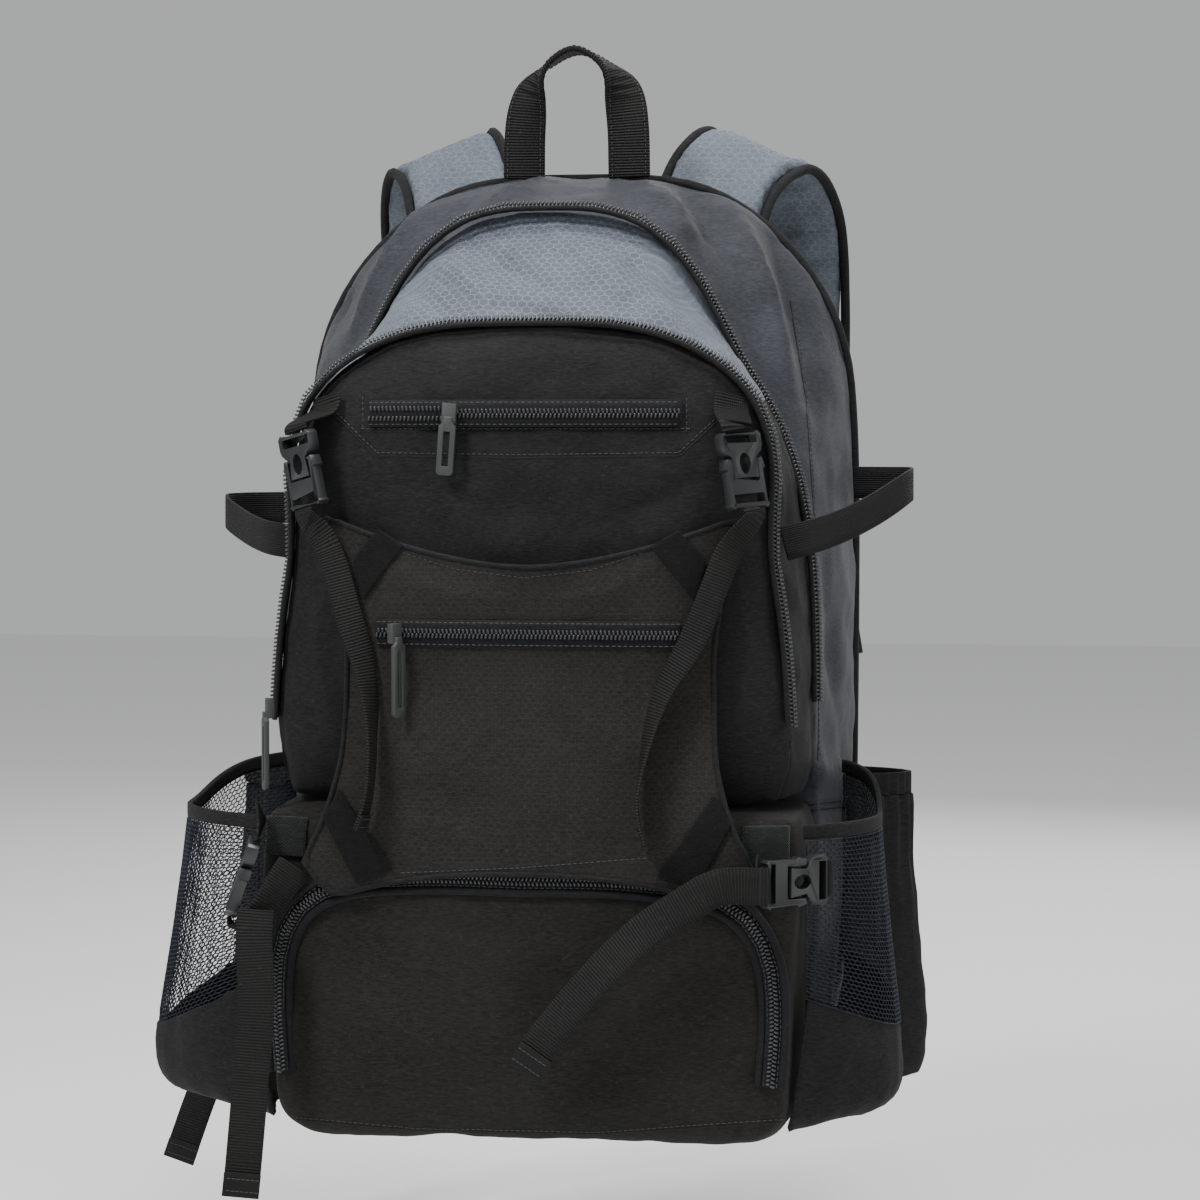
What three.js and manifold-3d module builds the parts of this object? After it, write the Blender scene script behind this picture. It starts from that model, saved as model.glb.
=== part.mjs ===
// Baseball bat backpack in its worn shape, as it hangs from a wearer's shoulders.
// X runs across the bag, minus Y is its outer face, plus Y the wearer's side, and Z is up.
// All lengths are millimetres. The origin is where the two straps rest on the shoulders.
import * as THREE from 'three';
import { mergeVertices } from 'three/addons/utils/BufferGeometryUtils.js';
import Module from 'manifold-3d';

const wasm = await Module();
wasm.setup();

// Compartments
const REAR_HEIGHT = 533;
const REAR_HALF = 166;
const FRONT_HEIGHT = 506;
const FRONT_HALF = 152;
const PANEL_DEPTH = 12;
const MAIN_DEPTH = 98;
const MIDDLE_DEPTH = 62;
const POCKET_TOP = 440;
const POCKET_HALF = 145;
const POCKET_RISE = 30;
const LOWER_TOP = 172;
const LOWER_FLOOR = -14;
const LOWER_HALF = 152;
const LOWER_DEPTH = 78;
const LOWER_RISE = 25;
const CLOTH = 2.2;
const GAP = 0.4;
const FOLD_RISE = 7;
const GUSSET_BULGE = 3;

// Zips and pulls
const ZIP_WIDTH = 9;
const ZIP_HEIGHT = 2.6;
const WELT_WIDTH = 15;
const CHEST_ZIP_HEIGHT = 390;
const CHEST_ZIP_HALF = 87;
const HOLDER_ZIP_HEIGHT = 270;
const HOLDER_ZIP_HALF = 84;
const PULL_WIDTH = 9.5;
const PULL_LENGTH = 31;
const LONG_PULL_LENGTH = 43;
const PULL_THICKNESS = 2.6;

// Holder panel over the front
const HOLDER_TOP = 334;
const HOLDER_BOTTOM = 124;
const HOLDER_HALF = 126;
const HOLDER_SAG = 28;
const HOLDER_SHIFT = 4;
const HOLDER_LIFT = 6;
const HOLDER_WALL = 2;
const BAND_WALL = 1.2;

// Side pockets
const MESH_FRONT = -186;
const MESH_REAR = -64;
const MESH_FULL_LEFT = 78;
const MESH_FULL_RIGHT = 50;
const SLEEVE_REAR = -14;
const SLEEVE_FULL = 46;
const SIDE_FLOOR = -5;
const MESH_RIM_HEIGHT = 156;
const MESH_RIM_CLIMB = 24;
const SLEEVE_RIM_HEIGHT = 166;
const POCKET_WALL = 1.6;
const RIM_HEIGHT = 8;
const RIM_WALL = 3;
const SLEEVE_RIM_BAND = 13;

// Webbing, straps and buckles
const WEB_WIDTH = 20;
const WEB_WALL = 1.6;
const BUCKLE_WIDTH = 27;
const BUCKLE_WALL = 7;
const SOCKET_LENGTH = 26;
const PLUG_LENGTH = 16;
const HANDLE_WIDTH = 25;
const HANDLE_RISE = 76;
const HANDLE_HALF = 32;
const HANDLE_INSET = 9;
const PAD_WIDTH = 66;
const PAD_WALL = 12;
const STRAP_REACH = 138;
const STRAP_CREST_DEPTH = 70;
const STRAP_CREST = 556;
const STRAP_END = 232;
const STRAP_SPREAD = 117;
const BAT_STRAP_WIDTH = 19;
const BAT_STRAP_WALL = 1.8;
const BAT_LOOP_HALF = 203;
const BAT_STRAP_HEIGHT = 318;
const BAT_STRAP_CLIMB_LEFT = 16;
const BAT_STRAP_CLIMB_RIGHT = 32;

// Depths that follow from the sizes above
const PANEL_FRONT = -PANEL_DEPTH;
const MAIN_BACK = PANEL_FRONT - GAP;
const MAIN_FRONT = MAIN_BACK - MAIN_DEPTH;
const MIDDLE_BACK = MAIN_FRONT - GAP;
const MIDDLE_FRONT = MIDDLE_BACK - MIDDLE_DEPTH;
const POCKET_BACK = MIDDLE_FRONT - GAP;
const LOWER_BACK = MAIN_FRONT - GAP;
const LOWER_EDGE = LOWER_BACK - LOWER_DEPTH;

// Colours and surfaces
const CLOTH_BLACK = { color: 0x25262a, roughness: 0.85, metalness: 0 };
const CLOTH_GREY = { color: 0x596373, roughness: 0.75, metalness: 0 };
const CLOTH_SLATE = { color: 0x8795a6, roughness: 0.7, metalness: 0 };
const CLOTH_OLIVE = { color: 0x33312c, roughness: 0.85, metalness: 0 };
const MESH_NAVY = { color: 0x1d2029, roughness: 0.9, metalness: 0 };
const WEBBING = { color: 0x1c1b1a, roughness: 0.9, metalness: 0 };
const PLASTIC = { color: 0x2e3033, roughness: 0.45, metalness: 0 };
const ZIP_TAPE = { color: 0x17181a, roughness: 0.6, metalness: 0 };

// Outlines: half width and height of each turn of the edge, from bottom middle to top middle,
// as shares of the compartment's own half width and height.
const REAR_ROWS = [
  { half: 0, up: 0 }, { half: 0.74, up: 0 }, { half: 0.94, up: 0.03 }, { half: 0.99, up: 0.1 },
  { half: 1, up: 0.3 }, { half: 1, up: 0.7 }, { half: 0.985, up: 0.77 }, { half: 0.965, up: 0.818 },
  { half: 0.905, up: 0.861 }, { half: 0.835, up: 0.895 }, { half: 0.717, up: 0.938 },
  { half: 0.58, up: 0.97 }, { half: 0.48, up: 0.988 }, { half: 0.26, up: 1 }, { half: 0, up: 1 },
];
const FRONT_ROWS = [
  { half: 0, up: 0 }, { half: 0.78, up: 0 }, { half: 0.94, up: 0.03 }, { half: 1, up: 0.12 },
  { half: 1, up: 0.45 }, { half: 0.985, up: 0.6 }, { half: 0.93, up: 0.7 }, { half: 0.83, up: 0.775 },
  { half: 0.715, up: 0.83 }, { half: 0.61, up: 0.893 }, { half: 0.49, up: 0.949 }, { half: 0.32, up: 0.988 },
  { half: 0.15, up: 1 }, { half: 0, up: 1 },
];
const POCKET_ROWS = [
  { half: 0, up: 0 }, { half: 0.88, up: 0 }, { half: 0.98, up: 0.03 }, { half: 1, up: 0.12 },
  { half: 0.985, up: 0.3 }, { half: 0.955, up: 0.44 }, { half: 0.925, up: 0.545 }, { half: 0.94, up: 0.65 },
  { half: 0.925, up: 0.76 }, { half: 0.87, up: 0.84 }, { half: 0.765, up: 0.902 }, { half: 0.6, up: 0.957 },
  { half: 0.38, up: 0.992 }, { half: 0.15, up: 1 }, { half: 0, up: 1 },
];
const LOWER_ROWS = [
  { half: 0, up: 0 }, { half: 0.45, up: 0 }, { half: 0.89, up: 0.01 }, { half: 0.955, up: 0.05 },
  { half: 0.965, up: 0.25 }, { half: 1, up: 0.6 }, { half: 1, up: 0.93 }, { half: 0.95, up: 1 },
  { half: 0, up: 1 },
];

// Folds that run over the gusset beside the top corners: place along the half outline and height.
const FOLD_ROWS = [
  { along: 0.66, rise: -0.5 }, { along: 0.72, rise: 1 }, { along: 0.79, rise: -0.7 },
  { along: 0.86, rise: 0.8 },
];
const FOLD_SPREAD = 0.03;

// Side edge of the holder panel: half width at each height.
const HOLDER_ROWS = [
  { up: 0, half: 0.86 }, { up: 0.09, half: 1 }, { up: 0.2, half: 0.89 }, { up: 0.38, half: 0.815 },
  { up: 0.65, half: 0.805 }, { up: 0.84, half: 0.85 }, { up: 1, half: 0.92 },
];

// Upright section of a side pocket: how far out it stands at each height.
const POUCH_ROWS = [
  { up: 0, out: 0 }, { up: 0.006, out: 0.5 }, { up: 0.025, out: 0.88 }, { up: 0.09, out: 1 },
  { up: 0.3, out: 0.97 }, { up: 0.6, out: 0.86 }, { up: 0.85, out: 0.78 }, { up: 1, out: 0.74 },
];

const bag = new THREE.Group();
bag.position.set(0, -STRAP_CREST_DEPTH, -STRAP_CREST + PAD_WALL / 2);

function add(name, geometry, finish) {
  const mesh = new THREE.Mesh(geometry, new THREE.MeshStandardMaterial(finish));
  mesh.name = name;
  bag.add(mesh);
  return mesh;
}

function point(x, y, z) {
  return new THREE.Vector3(x, y, z);
}

// A closed mesh from corner points and four-sided or three-sided faces, turned to face outwards.
function solid(corners, faces) {
  const triangles = [];
  faces.forEach((face) => {
    for (let k = 2; k < face.length; k += 1) triangles.push([face[0], face[k - 1], face[k]]);
  });
  let volume = 0;
  triangles.forEach(([a, b, c]) => {
    volume += corners[a].dot(corners[b].clone().cross(corners[c]));
  });
  if (volume < 0) triangles.forEach((triangle) => triangle.reverse());
  const geometry = new THREE.BufferGeometry().setFromPoints(corners);
  geometry.setIndex(triangles.flat());
  geometry.computeVertexNormals();
  return geometry;
}

// A solid skinned over rings of equal count, capped at both ends. In a twisted one, the faces of
// the second half are split the other way, so both sides of the cloth bend alike.
function ringSolid(rings, twisted = false) {
  const count = rings[0].length;
  const corners = rings.flat();
  const faces = [];
  for (let r = 0; r + 1 < rings.length; r += 1) {
    for (let i = 0; i < count; i += 1) {
      const j = (i + 1) % count;
      const face = [r * count + i, r * count + j, (r + 1) * count + j, (r + 1) * count + i];
      if (twisted && 2 * i >= count) face.push(face.shift());
      faces.push(face);
    }
  }
  [0, rings.length - 1].forEach((r) => {
    const middle = new THREE.Vector3();
    rings[r].forEach((corner) => middle.addScaledVector(corner, 1 / count));
    corners.push(middle);
    for (let i = 0; i < count; i += 1) {
      const j = (i + 1) % count;
      const edge = r === 0 ? [r * count + j, r * count + i] : [r * count + i, r * count + j];
      faces.push([...edge, corners.length - 1]);
    }
  });
  return solid(corners, faces);
}

// A solid between two grids of points, the outer and the inner face of a cloth sheet.
function sheetSolid(outer, inner) {
  const rows = outer.length;
  const columns = outer[0].length;
  const at = (side, r, c) => (side * rows + r) * columns + c;
  const faces = [];
  for (let r = 0; r + 1 < rows; r += 1) {
    for (let c = 0; c + 1 < columns; c += 1) {
      faces.push([at(0, r, c), at(0, r, c + 1), at(0, r + 1, c + 1), at(0, r + 1, c)]);
      faces.push([at(1, r, c), at(1, r + 1, c), at(1, r + 1, c + 1), at(1, r, c + 1)]);
    }
    const last = columns - 1;
    faces.push([at(0, r, 0), at(0, r + 1, 0), at(1, r + 1, 0), at(1, r, 0)]);
    faces.push([at(0, r, last), at(1, r, last), at(1, r + 1, last), at(0, r + 1, last)]);
  }
  for (let c = 0; c + 1 < columns; c += 1) {
    const last = rows - 1;
    faces.push([at(0, 0, c), at(1, 0, c), at(1, 0, c + 1), at(0, 0, c + 1)]);
    faces.push([at(0, last, c), at(0, last, c + 1), at(1, last, c + 1), at(1, last, c)]);
  }
  return solid([...outer.flat(), ...inner.flat()], faces);
}

// Outlines of the compartments
const SIDE_POINTS = 22;

function outline(rows, half, low, high) {
  const turns = rows.map((row) => point(row.half * half, 0, low + row.up * (high - low)));
  const curve = new THREE.CatmullRomCurve3(turns, false, 'centripetal');
  const right = curve.getSpacedPoints(SIDE_POINTS);
  const ups = turns.map((p) => p.z);
  right.forEach((p) => { p.z = THREE.MathUtils.clamp(p.z, Math.min(...ups), Math.max(...ups)); });
  const left = right.slice(1, -1).reverse().map((p) => point(-p.x, 0, p.z));
  return [...right, ...left];
}

// The part of an outline above a floor height.
function croppedRows(rows, floorShare) {
  const kept = rows.filter((row) => row.up > floorShare + 0.04);
  const corner = kept[0].half;
  return [
    { half: 0, up: floorShare }, { half: corner * 0.93, up: floorShare },
    { half: corner, up: floorShare + 0.02 }, ...kept,
  ];
}

function middleOf(loop) {
  const heights = loop.map((p) => p.z);
  return point(0, 0, (Math.min(...heights) + Math.max(...heights)) / 2);
}

// A ring at one depth: the outline shrunk towards its middle.
function ring(loop, depth, share = 1) {
  const middle = middleOf(loop);
  return loop.map((p) => point(p.x * share, depth, middle.z + (p.z - middle.z) * share));
}

function ringBetween(back, front, share, bulge) {
  const middle = middleOf(back);
  return back.map((p, i) => {
    const mixed = p.clone().lerp(front[i], share);
    const outward = point(mixed.x, 0, Math.max(0, mixed.z - middle.z)).normalize();
    return mixed.addScaledVector(outward, bulge(i));
  });
}

function foldAt(i) {
  const along = i <= SIDE_POINTS ? i / SIDE_POINTS : 2 - i / SIDE_POINTS;
  const rise = FOLD_ROWS.reduce((sum, fold) => {
    const away = (along - fold.along) / FOLD_SPREAD;
    return sum + fold.rise * Math.exp(-away * away);
  }, 0);
  return FOLD_RISE * rise;
}

// How far a place lies out from the middle of an outline, as a share of the way to its edge.
function shareOut(loop, x, z) {
  const middle = middleOf(loop);
  const dx = x - middle.x;
  const dz = z - middle.z;
  let share = 0;
  loop.forEach((p, i) => {
    const q = loop[(i + 1) % loop.length];
    const ex = q.x - p.x;
    const ez = q.z - p.z;
    const wx = p.x - middle.x;
    const wz = p.z - middle.z;
    const cross = dx * ez - dz * ex;
    if (Math.abs(cross) < 1e-9) return;
    const reach = (wx * ez - wz * ex) / cross;
    const place = (wx * dz - wz * dx) / cross;
    if (reach > 0 && place >= 0 && place <= 1) share = 1 / reach;
  });
  return share;
}

function crown(share) {
  return Math.sqrt(Math.max(0, 1 - share ** 4));
}

// A hollow cloth shell with its open side at the back, from outer rings given back to front.
function dish(outer, wall) {
  const count = outer[0].length;
  const root = middleOf(outer[0]);
  root.y = outer[0][0].y;
  const inner = outer.map((row, r) => row.map((p, i) => {
    const along = row[(i + 1) % count].clone().sub(row[(i + count - 1) % count]);
    const ahead = outer[Math.min(r + 1, outer.length - 1)][i];
    const behind = outer[Math.max(r - 1, 0)][i];
    const normal = along.cross(ahead.clone().sub(behind)).normalize();
    if (normal.dot(p.clone().sub(root)) < 0) normal.negate();
    const moved = p.clone().addScaledVector(normal, -wall);
    if (r === 0) moved.y = p.y;
    return moved;
  }));
  const thinned = inner.filter((_, r) => r === 0 || (outer.length - r) % 2 === 1);
  return ringSolid([...thinned.reverse(), ...outer]);
}

const rearLoop = outline(REAR_ROWS, REAR_HALF, 0, REAR_HEIGHT);
const frontLoop = outline(FRONT_ROWS, FRONT_HALF, 0, FRONT_HEIGHT);
const middleFloor = LOWER_TOP + 2 * GAP;
const middleLoop = outline(croppedRows(FRONT_ROWS, middleFloor / FRONT_HEIGHT), FRONT_HALF, 0, FRONT_HEIGHT);
const pocketLoop = outline(POCKET_ROWS, POCKET_HALF, middleFloor, POCKET_TOP);
const lowerLoop = outline(LOWER_ROWS, LOWER_HALF, LOWER_FLOOR, LOWER_TOP);

function pocketFace(x, z) {
  return POCKET_BACK - POCKET_RISE * crown(shareOut(pocketLoop, x, z));
}

function lowerFace(x, z) {
  return LOWER_EDGE - LOWER_RISE * crown(shareOut(lowerLoop, x, z));
}

function crownedRings(loop, edge, rise) {
  const shares = [0.97, 0.9, 0.77, 0.58, 0.3];
  return shares.map((share) => ring(loop, edge - rise * crown(share), share));
}

function flatRings(loop, depth) {
  return [ring(loop, depth, 0.95), ring(loop, depth, 0.4)];
}

// Where the gusset's first ring lies, as a share of the main depth.
const FIRST_RING = 0.3;

function backPanel() {
  const rows = [
    ring(rearLoop, PANEL_FRONT, 0.5), ring(rearLoop, PANEL_FRONT, 0.99),
    ring(rearLoop, PANEL_FRONT * 0.5), ring(rearLoop, 0, 0.96), ring(rearLoop, 0, 0.5),
  ];
  add('back_panel', ringSolid(rows), CLOTH_BLACK);
}

function mainShell() {
  const back = ring(rearLoop, MAIN_BACK);
  const front = ring(frontLoop, MAIN_FRONT + CLOTH);
  const gusset = [FIRST_RING, 0.65].map((share) => ringBetween(back, front, share, (i) => {
    return GUSSET_BULGE + foldAt(i) * Math.sin(Math.PI * share);
  }));
  add('main_shell', dish([back, ...gusset, front, ...flatRings(frontLoop, MAIN_FRONT)], CLOTH), CLOTH_GREY);
}

function middleShell() {
  const back = ring(middleLoop, MIDDLE_BACK);
  const front = ring(pocketLoop, MIDDLE_FRONT + CLOTH);
  const between = ringBetween(back, front, 0.5, () => GUSSET_BULGE);
  const rows = [back, between, front, ...flatRings(pocketLoop, MIDDLE_FRONT)];
  add('middle_shell', dish(rows, CLOTH), CLOTH_SLATE);
}

function frontPocket() {
  const rows = [ring(pocketLoop, POCKET_BACK), ...crownedRings(pocketLoop, POCKET_BACK, POCKET_RISE)];
  add('front_pocket', dish(rows, CLOTH), CLOTH_BLACK);
}

function lowerPocket() {
  const rows = [
    ring(lowerLoop, LOWER_BACK), ring(lowerLoop, LOWER_EDGE),
    ...crownedRings(lowerLoop, LOWER_EDGE, LOWER_RISE),
  ];
  add('lower_pocket', dish(rows, CLOTH), CLOTH_BLACK);
}

backPanel();
mainShell();
middleShell();
frontPocket();
lowerPocket();

// Zips. The section is a tape with the coil as a ridge along its middle.
const ZIP_SECTION = [
  { across: -0.5, up: 0 }, { across: -0.5, up: 0.35 }, { across: 0, up: 1 },
  { across: 0.5, up: 0.35 }, { across: 0.5, up: 0 },
];

// A zip along the edge of an outline, standing outwards from it.
function edgeZip(loop, endHeight, depth, lift) {
  const side = loop.slice(0, SIDE_POINTS + 1).filter((p) => p.z > endHeight);
  const left = side.slice(0, -1).reverse().map((p) => point(-p.x, 0, p.z));
  const path = [...side, ...left];
  const rings = path.map((p, i) => {
    const ahead = path[Math.min(i + 1, path.length - 1)];
    const behind = path[Math.max(i - 1, 0)];
    const outward = point(ahead.z - behind.z, 0, behind.x - ahead.x).normalize();
    return ZIP_SECTION.map((corner) => {
      const place = p.clone().addScaledVector(outward, lift + corner.up * ZIP_HEIGHT);
      place.y = depth + corner.across * ZIP_WIDTH;
      return place;
    });
  });
  return ringSolid(rings);
}

// A band along a path that lies on a bulging face.
function faceBand(path, face, width, height, lift = 2 * GAP) {
  const rings = path.map((p, i) => {
    const ahead = path[Math.min(i + 1, path.length - 1)];
    const behind = path[Math.max(i - 1, 0)];
    const outward = point(ahead.z - behind.z, 0, behind.x - ahead.x).normalize();
    return ZIP_SECTION.map((corner) => {
      const place = p.clone().addScaledVector(outward, corner.across * width);
      place.y = face(place.x, place.z) - lift - corner.up * height;
      return place;
    });
  });
  return ringSolid(rings);
}

function straightPath(half, height, shift = 0) {
  const steps = 8;
  return Array.from({ length: steps + 1 }, (_, i) => point(half - (2 * half * i) / steps + shift, 0, height));
}

// Lower zip: it climbs both sides of the lower face and crosses under the holder panel.
const LOWER_ZIP_ROWS = [
  { half: 0.9, up: 0.2 }, { half: 0.915, up: 0.4 }, { half: 0.895, up: 0.58 }, { half: 0.82, up: 0.7 },
  { half: 0.68, up: 0.77 }, { half: 0.4, up: 0.8 }, { half: 0, up: 0.8 },
];

function lowerZipPath() {
  const right = LOWER_ZIP_ROWS.map((row) => {
    return point(row.half * LOWER_HALF, 0, LOWER_FLOOR + row.up * (LOWER_TOP - LOWER_FLOOR));
  });
  const left = right.slice(0, -1).reverse().map((p) => point(-p.x, 0, p.z));
  const curve = new THREE.CatmullRomCurve3([...right, ...left], false, 'centripetal');
  return curve.getSpacedPoints(28);
}

const ZIP_END_HEIGHT = LOWER_TOP + 45;

function zips() {
  const standOff = 3 * GAP + (2 * GUSSET_BULGE * ZIP_WIDTH) / MIDDLE_DEPTH;
  add('main_zip', edgeZip(middleLoop, ZIP_END_HEIGHT, MIDDLE_BACK - ZIP_WIDTH / 2, standOff), ZIP_TAPE);
  add('pocket_zip', edgeZip(pocketLoop, ZIP_END_HEIGHT, POCKET_BACK - ZIP_WIDTH / 2, GAP), ZIP_TAPE);
  add('lower_zip', faceBand(lowerZipPath(), lowerFace, ZIP_WIDTH, ZIP_HEIGHT, 3 * GAP), ZIP_TAPE);
  const chest = straightPath(CHEST_ZIP_HALF, CHEST_ZIP_HEIGHT);
  add('chest_zip', faceBand(chest, pocketFace, WELT_WIDTH, ZIP_HEIGHT), ZIP_TAPE);
}

zips();

// Holder panel: a stretched sheet hung over the front between the four buckles.
function holderHalf(up) {
  const last = HOLDER_ROWS.length - 1;
  const next = Math.min(Math.max(HOLDER_ROWS.findIndex((row) => row.up >= up), 1), last);
  const low = HOLDER_ROWS[next - 1];
  const high = HOLDER_ROWS[next];
  const share = (up - low.up) / (high.up - low.up);
  return HOLDER_HALF * THREE.MathUtils.lerp(low.half, high.half, THREE.MathUtils.clamp(share, 0, 1));
}

// The holder's back stands off the pocket above and the lower compartment below.
const HOLDER_FRONT = Math.min(POCKET_BACK - POCKET_RISE, LOWER_EDGE - LOWER_RISE) - HOLDER_LIFT;

function holderFace(x, z) {
  const high = THREE.MathUtils.smoothstep(z, 0.93 * LOWER_TOP, 1.407 * LOWER_TOP);
  const side = Math.min(1, Math.abs(x - HOLDER_SHIFT) / HOLDER_HALF) ** 2.6;
  const upper = HOLDER_FRONT + HOLDER_LIFT * (0.833 * high + (0.417 + 1.917 * high) * side);
  const gripped = z > LOWER_TOP ? pocketFace(x, z) : lowerFace(x, z);
  return Math.min(upper, gripped - HOLDER_WALL - 3 * GAP);
}

function holderPlace(u, v) {
  const half = holderHalf(v);
  const bottom = HOLDER_BOTTOM + 0.536 * HOLDER_SAG * (1 - Math.abs(u) ** 2.5);
  const top = HOLDER_TOP - HOLDER_SAG * (1 - Math.abs(u) ** 1.7);
  return { x: HOLDER_SHIFT + u * half, z: THREE.MathUtils.lerp(bottom, top, v) };
}

// A patch laid on a face: a grid between four corners given in order round the patch.
function facePatch(corners, face, wall, cells, lift = 2 * GAP) {
  const outer = [];
  for (let r = 0; r <= cells; r += 1) {
    const row = [];
    for (let c = 0; c <= cells; c += 1) {
      const low = corners[0].clone().lerp(corners[1], c / cells);
      const high = corners[3].clone().lerp(corners[2], c / cells);
      row.push(low.lerp(high, r / cells));
    }
    outer.push(row);
  }
  const seated = (p, off) => point(p.x, face(p.x, p.z) - off, p.z);
  const near = outer.map((row) => row.map((p) => seated(p, lift + wall)));
  const far = outer.map((row) => row.map((p) => seated(p, lift)));
  return sheetSolid(near, far);
}

// Bands across the four corners: each corner as shares of the holder's half width and top height.
const BAND_ROWS = {
  upper: [
    { side: 0.778, up: 0.925 }, { side: 0.659, up: 0.979 }, { side: 0.54, up: 0.952 },
    { side: 0.73, up: 0.862 },
  ],
  lower: [
    { side: 0.897, up: 0.503 }, { side: 0.825, up: 0.551 }, { side: 0.579, up: 0.419 },
    { side: 0.754, up: 0.401 },
  ],
};

function holder() {
  const columns = 12;
  const rows = 11;
  const places = Array.from({ length: rows + 1 }, (_, r) => {
    return Array.from({ length: columns + 1 }, (__, c) => holderPlace((2 * c) / columns - 1, r / rows));
  });
  const near = places.map((row) => row.map((p) => point(p.x, holderFace(p.x, p.z), p.z)));
  const far = near.map((row) => row.map((p) => point(p.x, p.y + HOLDER_WALL, p.z)));
  add('holder_panel', sheetSolid(near, far), CLOTH_OLIVE);
  Object.entries(BAND_ROWS).forEach(([level, turns]) => {
    [-1, 1].forEach((side) => {
      const corners = turns.map((corner) => {
        return point(HOLDER_SHIFT + side * corner.side * HOLDER_HALF, 0, corner.up * HOLDER_TOP);
      });
      const name = `holder_band_${level}_${side < 0 ? 'left' : 'right'}`;
      add(name, facePatch(corners, holderFace, BAND_WALL, 4), CLOTH_BLACK);
    });
  });
  const zip = straightPath(HOLDER_ZIP_HALF, HOLDER_ZIP_HEIGHT, HOLDER_SHIFT);
  add('holder_zip', faceBand(zip, holderFace, WELT_WIDTH, ZIP_HEIGHT), ZIP_TAPE);
}

holder();

const PATCH_INNER = 0.8;
const PATCH_OUTER = 0.965;

function tabPatches() {
  [-1, 1].forEach((side) => {
    const high = LOWER_TOP - 6;
    const low = LOWER_TOP - 27;
    const inner = LOWER_HALF * PATCH_INNER;
    const outer = LOWER_HALF * PATCH_OUTER;
    const corners = [[inner, low], [outer, low], [outer, high], [inner, high]].map(([x, z]) => {
      return point(side * x, 0, z);
    });
    const patch = facePatch(corners, lowerFace, BAND_WALL, 4, 3 * GAP);
    add(`tab_patch_${side < 0 ? 'left' : 'right'}`, patch, CLOTH_BLACK);
  });
}

tabPatches();

// Side pockets: a mesh pouch in front of a cloth bat sleeve on each side.
function sideHalf(depth) {
  if (depth < MAIN_FRONT) return Math.max(LOWER_HALF, FRONT_HALF);
  const share = (depth - MAIN_FRONT) / MAIN_DEPTH;
  return THREE.MathUtils.lerp(FRONT_HALF, REAR_HALF, share) + 1.6 * GUSSET_BULGE * Math.sin(Math.PI * share);
}

function pouchPlace(side, start, end, full, u, v, rim) {
  const depth = THREE.MathUtils.lerp(start, end, u);
  const steps = POUCH_ROWS.length - 1;
  const below = Math.min(Math.floor(v * steps), steps - 1);
  const low = POUCH_ROWS[below];
  const high = POUCH_ROWS[below + 1];
  const share = v * steps - below;
  const out = THREE.MathUtils.lerp(low.out, high.out, share);
  const up = THREE.MathUtils.lerp(low.up, high.up, share);
  const belly = Math.sin(Math.PI * u) ** 0.75;
  const x = sideHalf(depth) + POCKET_WALL + 3 * GAP + full * belly * out;
  return point(side * x, depth, SIDE_FLOOR + up * (rim(u) - SIDE_FLOOR));
}

const POUCH_COLUMNS = 11;

function pouch(side, start, end, full, rim) {
  const rows = POUCH_ROWS.length;
  const columns = POUCH_COLUMNS;
  const outer = Array.from({ length: rows }, (_, r) => {
    return Array.from({ length: columns }, (__, c) => {
      return pouchPlace(side, start, end, full, c / (columns - 1), r / (rows - 1), rim);
    });
  });
  const inner = outer.map((row, r) => row.map((p, c) => {
    const along = row[Math.min(c + 1, columns - 1)].clone().sub(row[Math.max(c - 1, 0)]);
    const above = outer[Math.min(r + 1, rows - 1)][c].clone().sub(outer[Math.max(r - 1, 0)][c]);
    const outward = along.cross(above).normalize().multiplyScalar(side);
    return p.clone().addScaledVector(outward, -POCKET_WALL);
  }));
  return sheetSolid(outer, inner);
}

function rimBand(side, start, end, full, rim, height) {
  const rings = Array.from({ length: POUCH_COLUMNS }, (_, c) => {
    const u = c / (POUCH_COLUMNS - 1);
    const top = pouchPlace(side, start, end, full, u, 1, rim);
    const outer = top.x + side * (RIM_WALL - POCKET_WALL) / 2;
    const inner = outer - side * RIM_WALL;
    const low = top.z + 2 * GAP;
    return [
      point(outer, top.y, low), point(outer, top.y, low + height),
      point(inner, top.y, low + height), point(inner, top.y, low),
    ];
  });
  return ringSolid(rings);
}

function meshRim(u) {
  return MESH_RIM_HEIGHT + MESH_RIM_CLIMB * THREE.MathUtils.smoothstep(u, 0.5, 1);
}

function sleeveRim() {
  return SLEEVE_RIM_HEIGHT;
}

function sidePockets() {
  [-1, 1].forEach((side) => {
    const word = side < 0 ? 'left' : 'right';
    const full = side < 0 ? MESH_FULL_LEFT : MESH_FULL_RIGHT;
    const mesh = [side, MESH_FRONT, MESH_REAR, full];
    add(`mesh_pocket_${word}`, pouch(...mesh, meshRim), MESH_NAVY);
    add(`mesh_rim_${word}`, rimBand(...mesh, meshRim, RIM_HEIGHT), WEBBING);
    const sleeve = [side, MESH_REAR + 4, SLEEVE_REAR, SLEEVE_FULL];
    add(`bat_sleeve_${word}`, pouch(...sleeve, sleeveRim), CLOTH_BLACK);
    add(`sleeve_rim_${word}`, rimBand(...sleeve, sleeveRim, SLEEVE_RIM_BAND), WEBBING);
  });
}

sidePockets();

// A flat strap along a smooth path. Each row gives a place on the path and the way its width runs.
const FLAT = [{ a: 1, b: 1 }, { a: -1, b: 1 }, { a: -1, b: -1 }, { a: 1, b: -1 }];
const PADDED = [
  { a: 1, b: 0 }, { a: 0.86, b: 0.85 }, { a: 0.3, b: 1 }, { a: -0.3, b: 1 }, { a: -0.86, b: 0.85 },
  { a: -1, b: 0 }, { a: -0.86, b: -0.85 }, { a: 0, b: -1 }, { a: 0.86, b: -0.85 },
];

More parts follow.
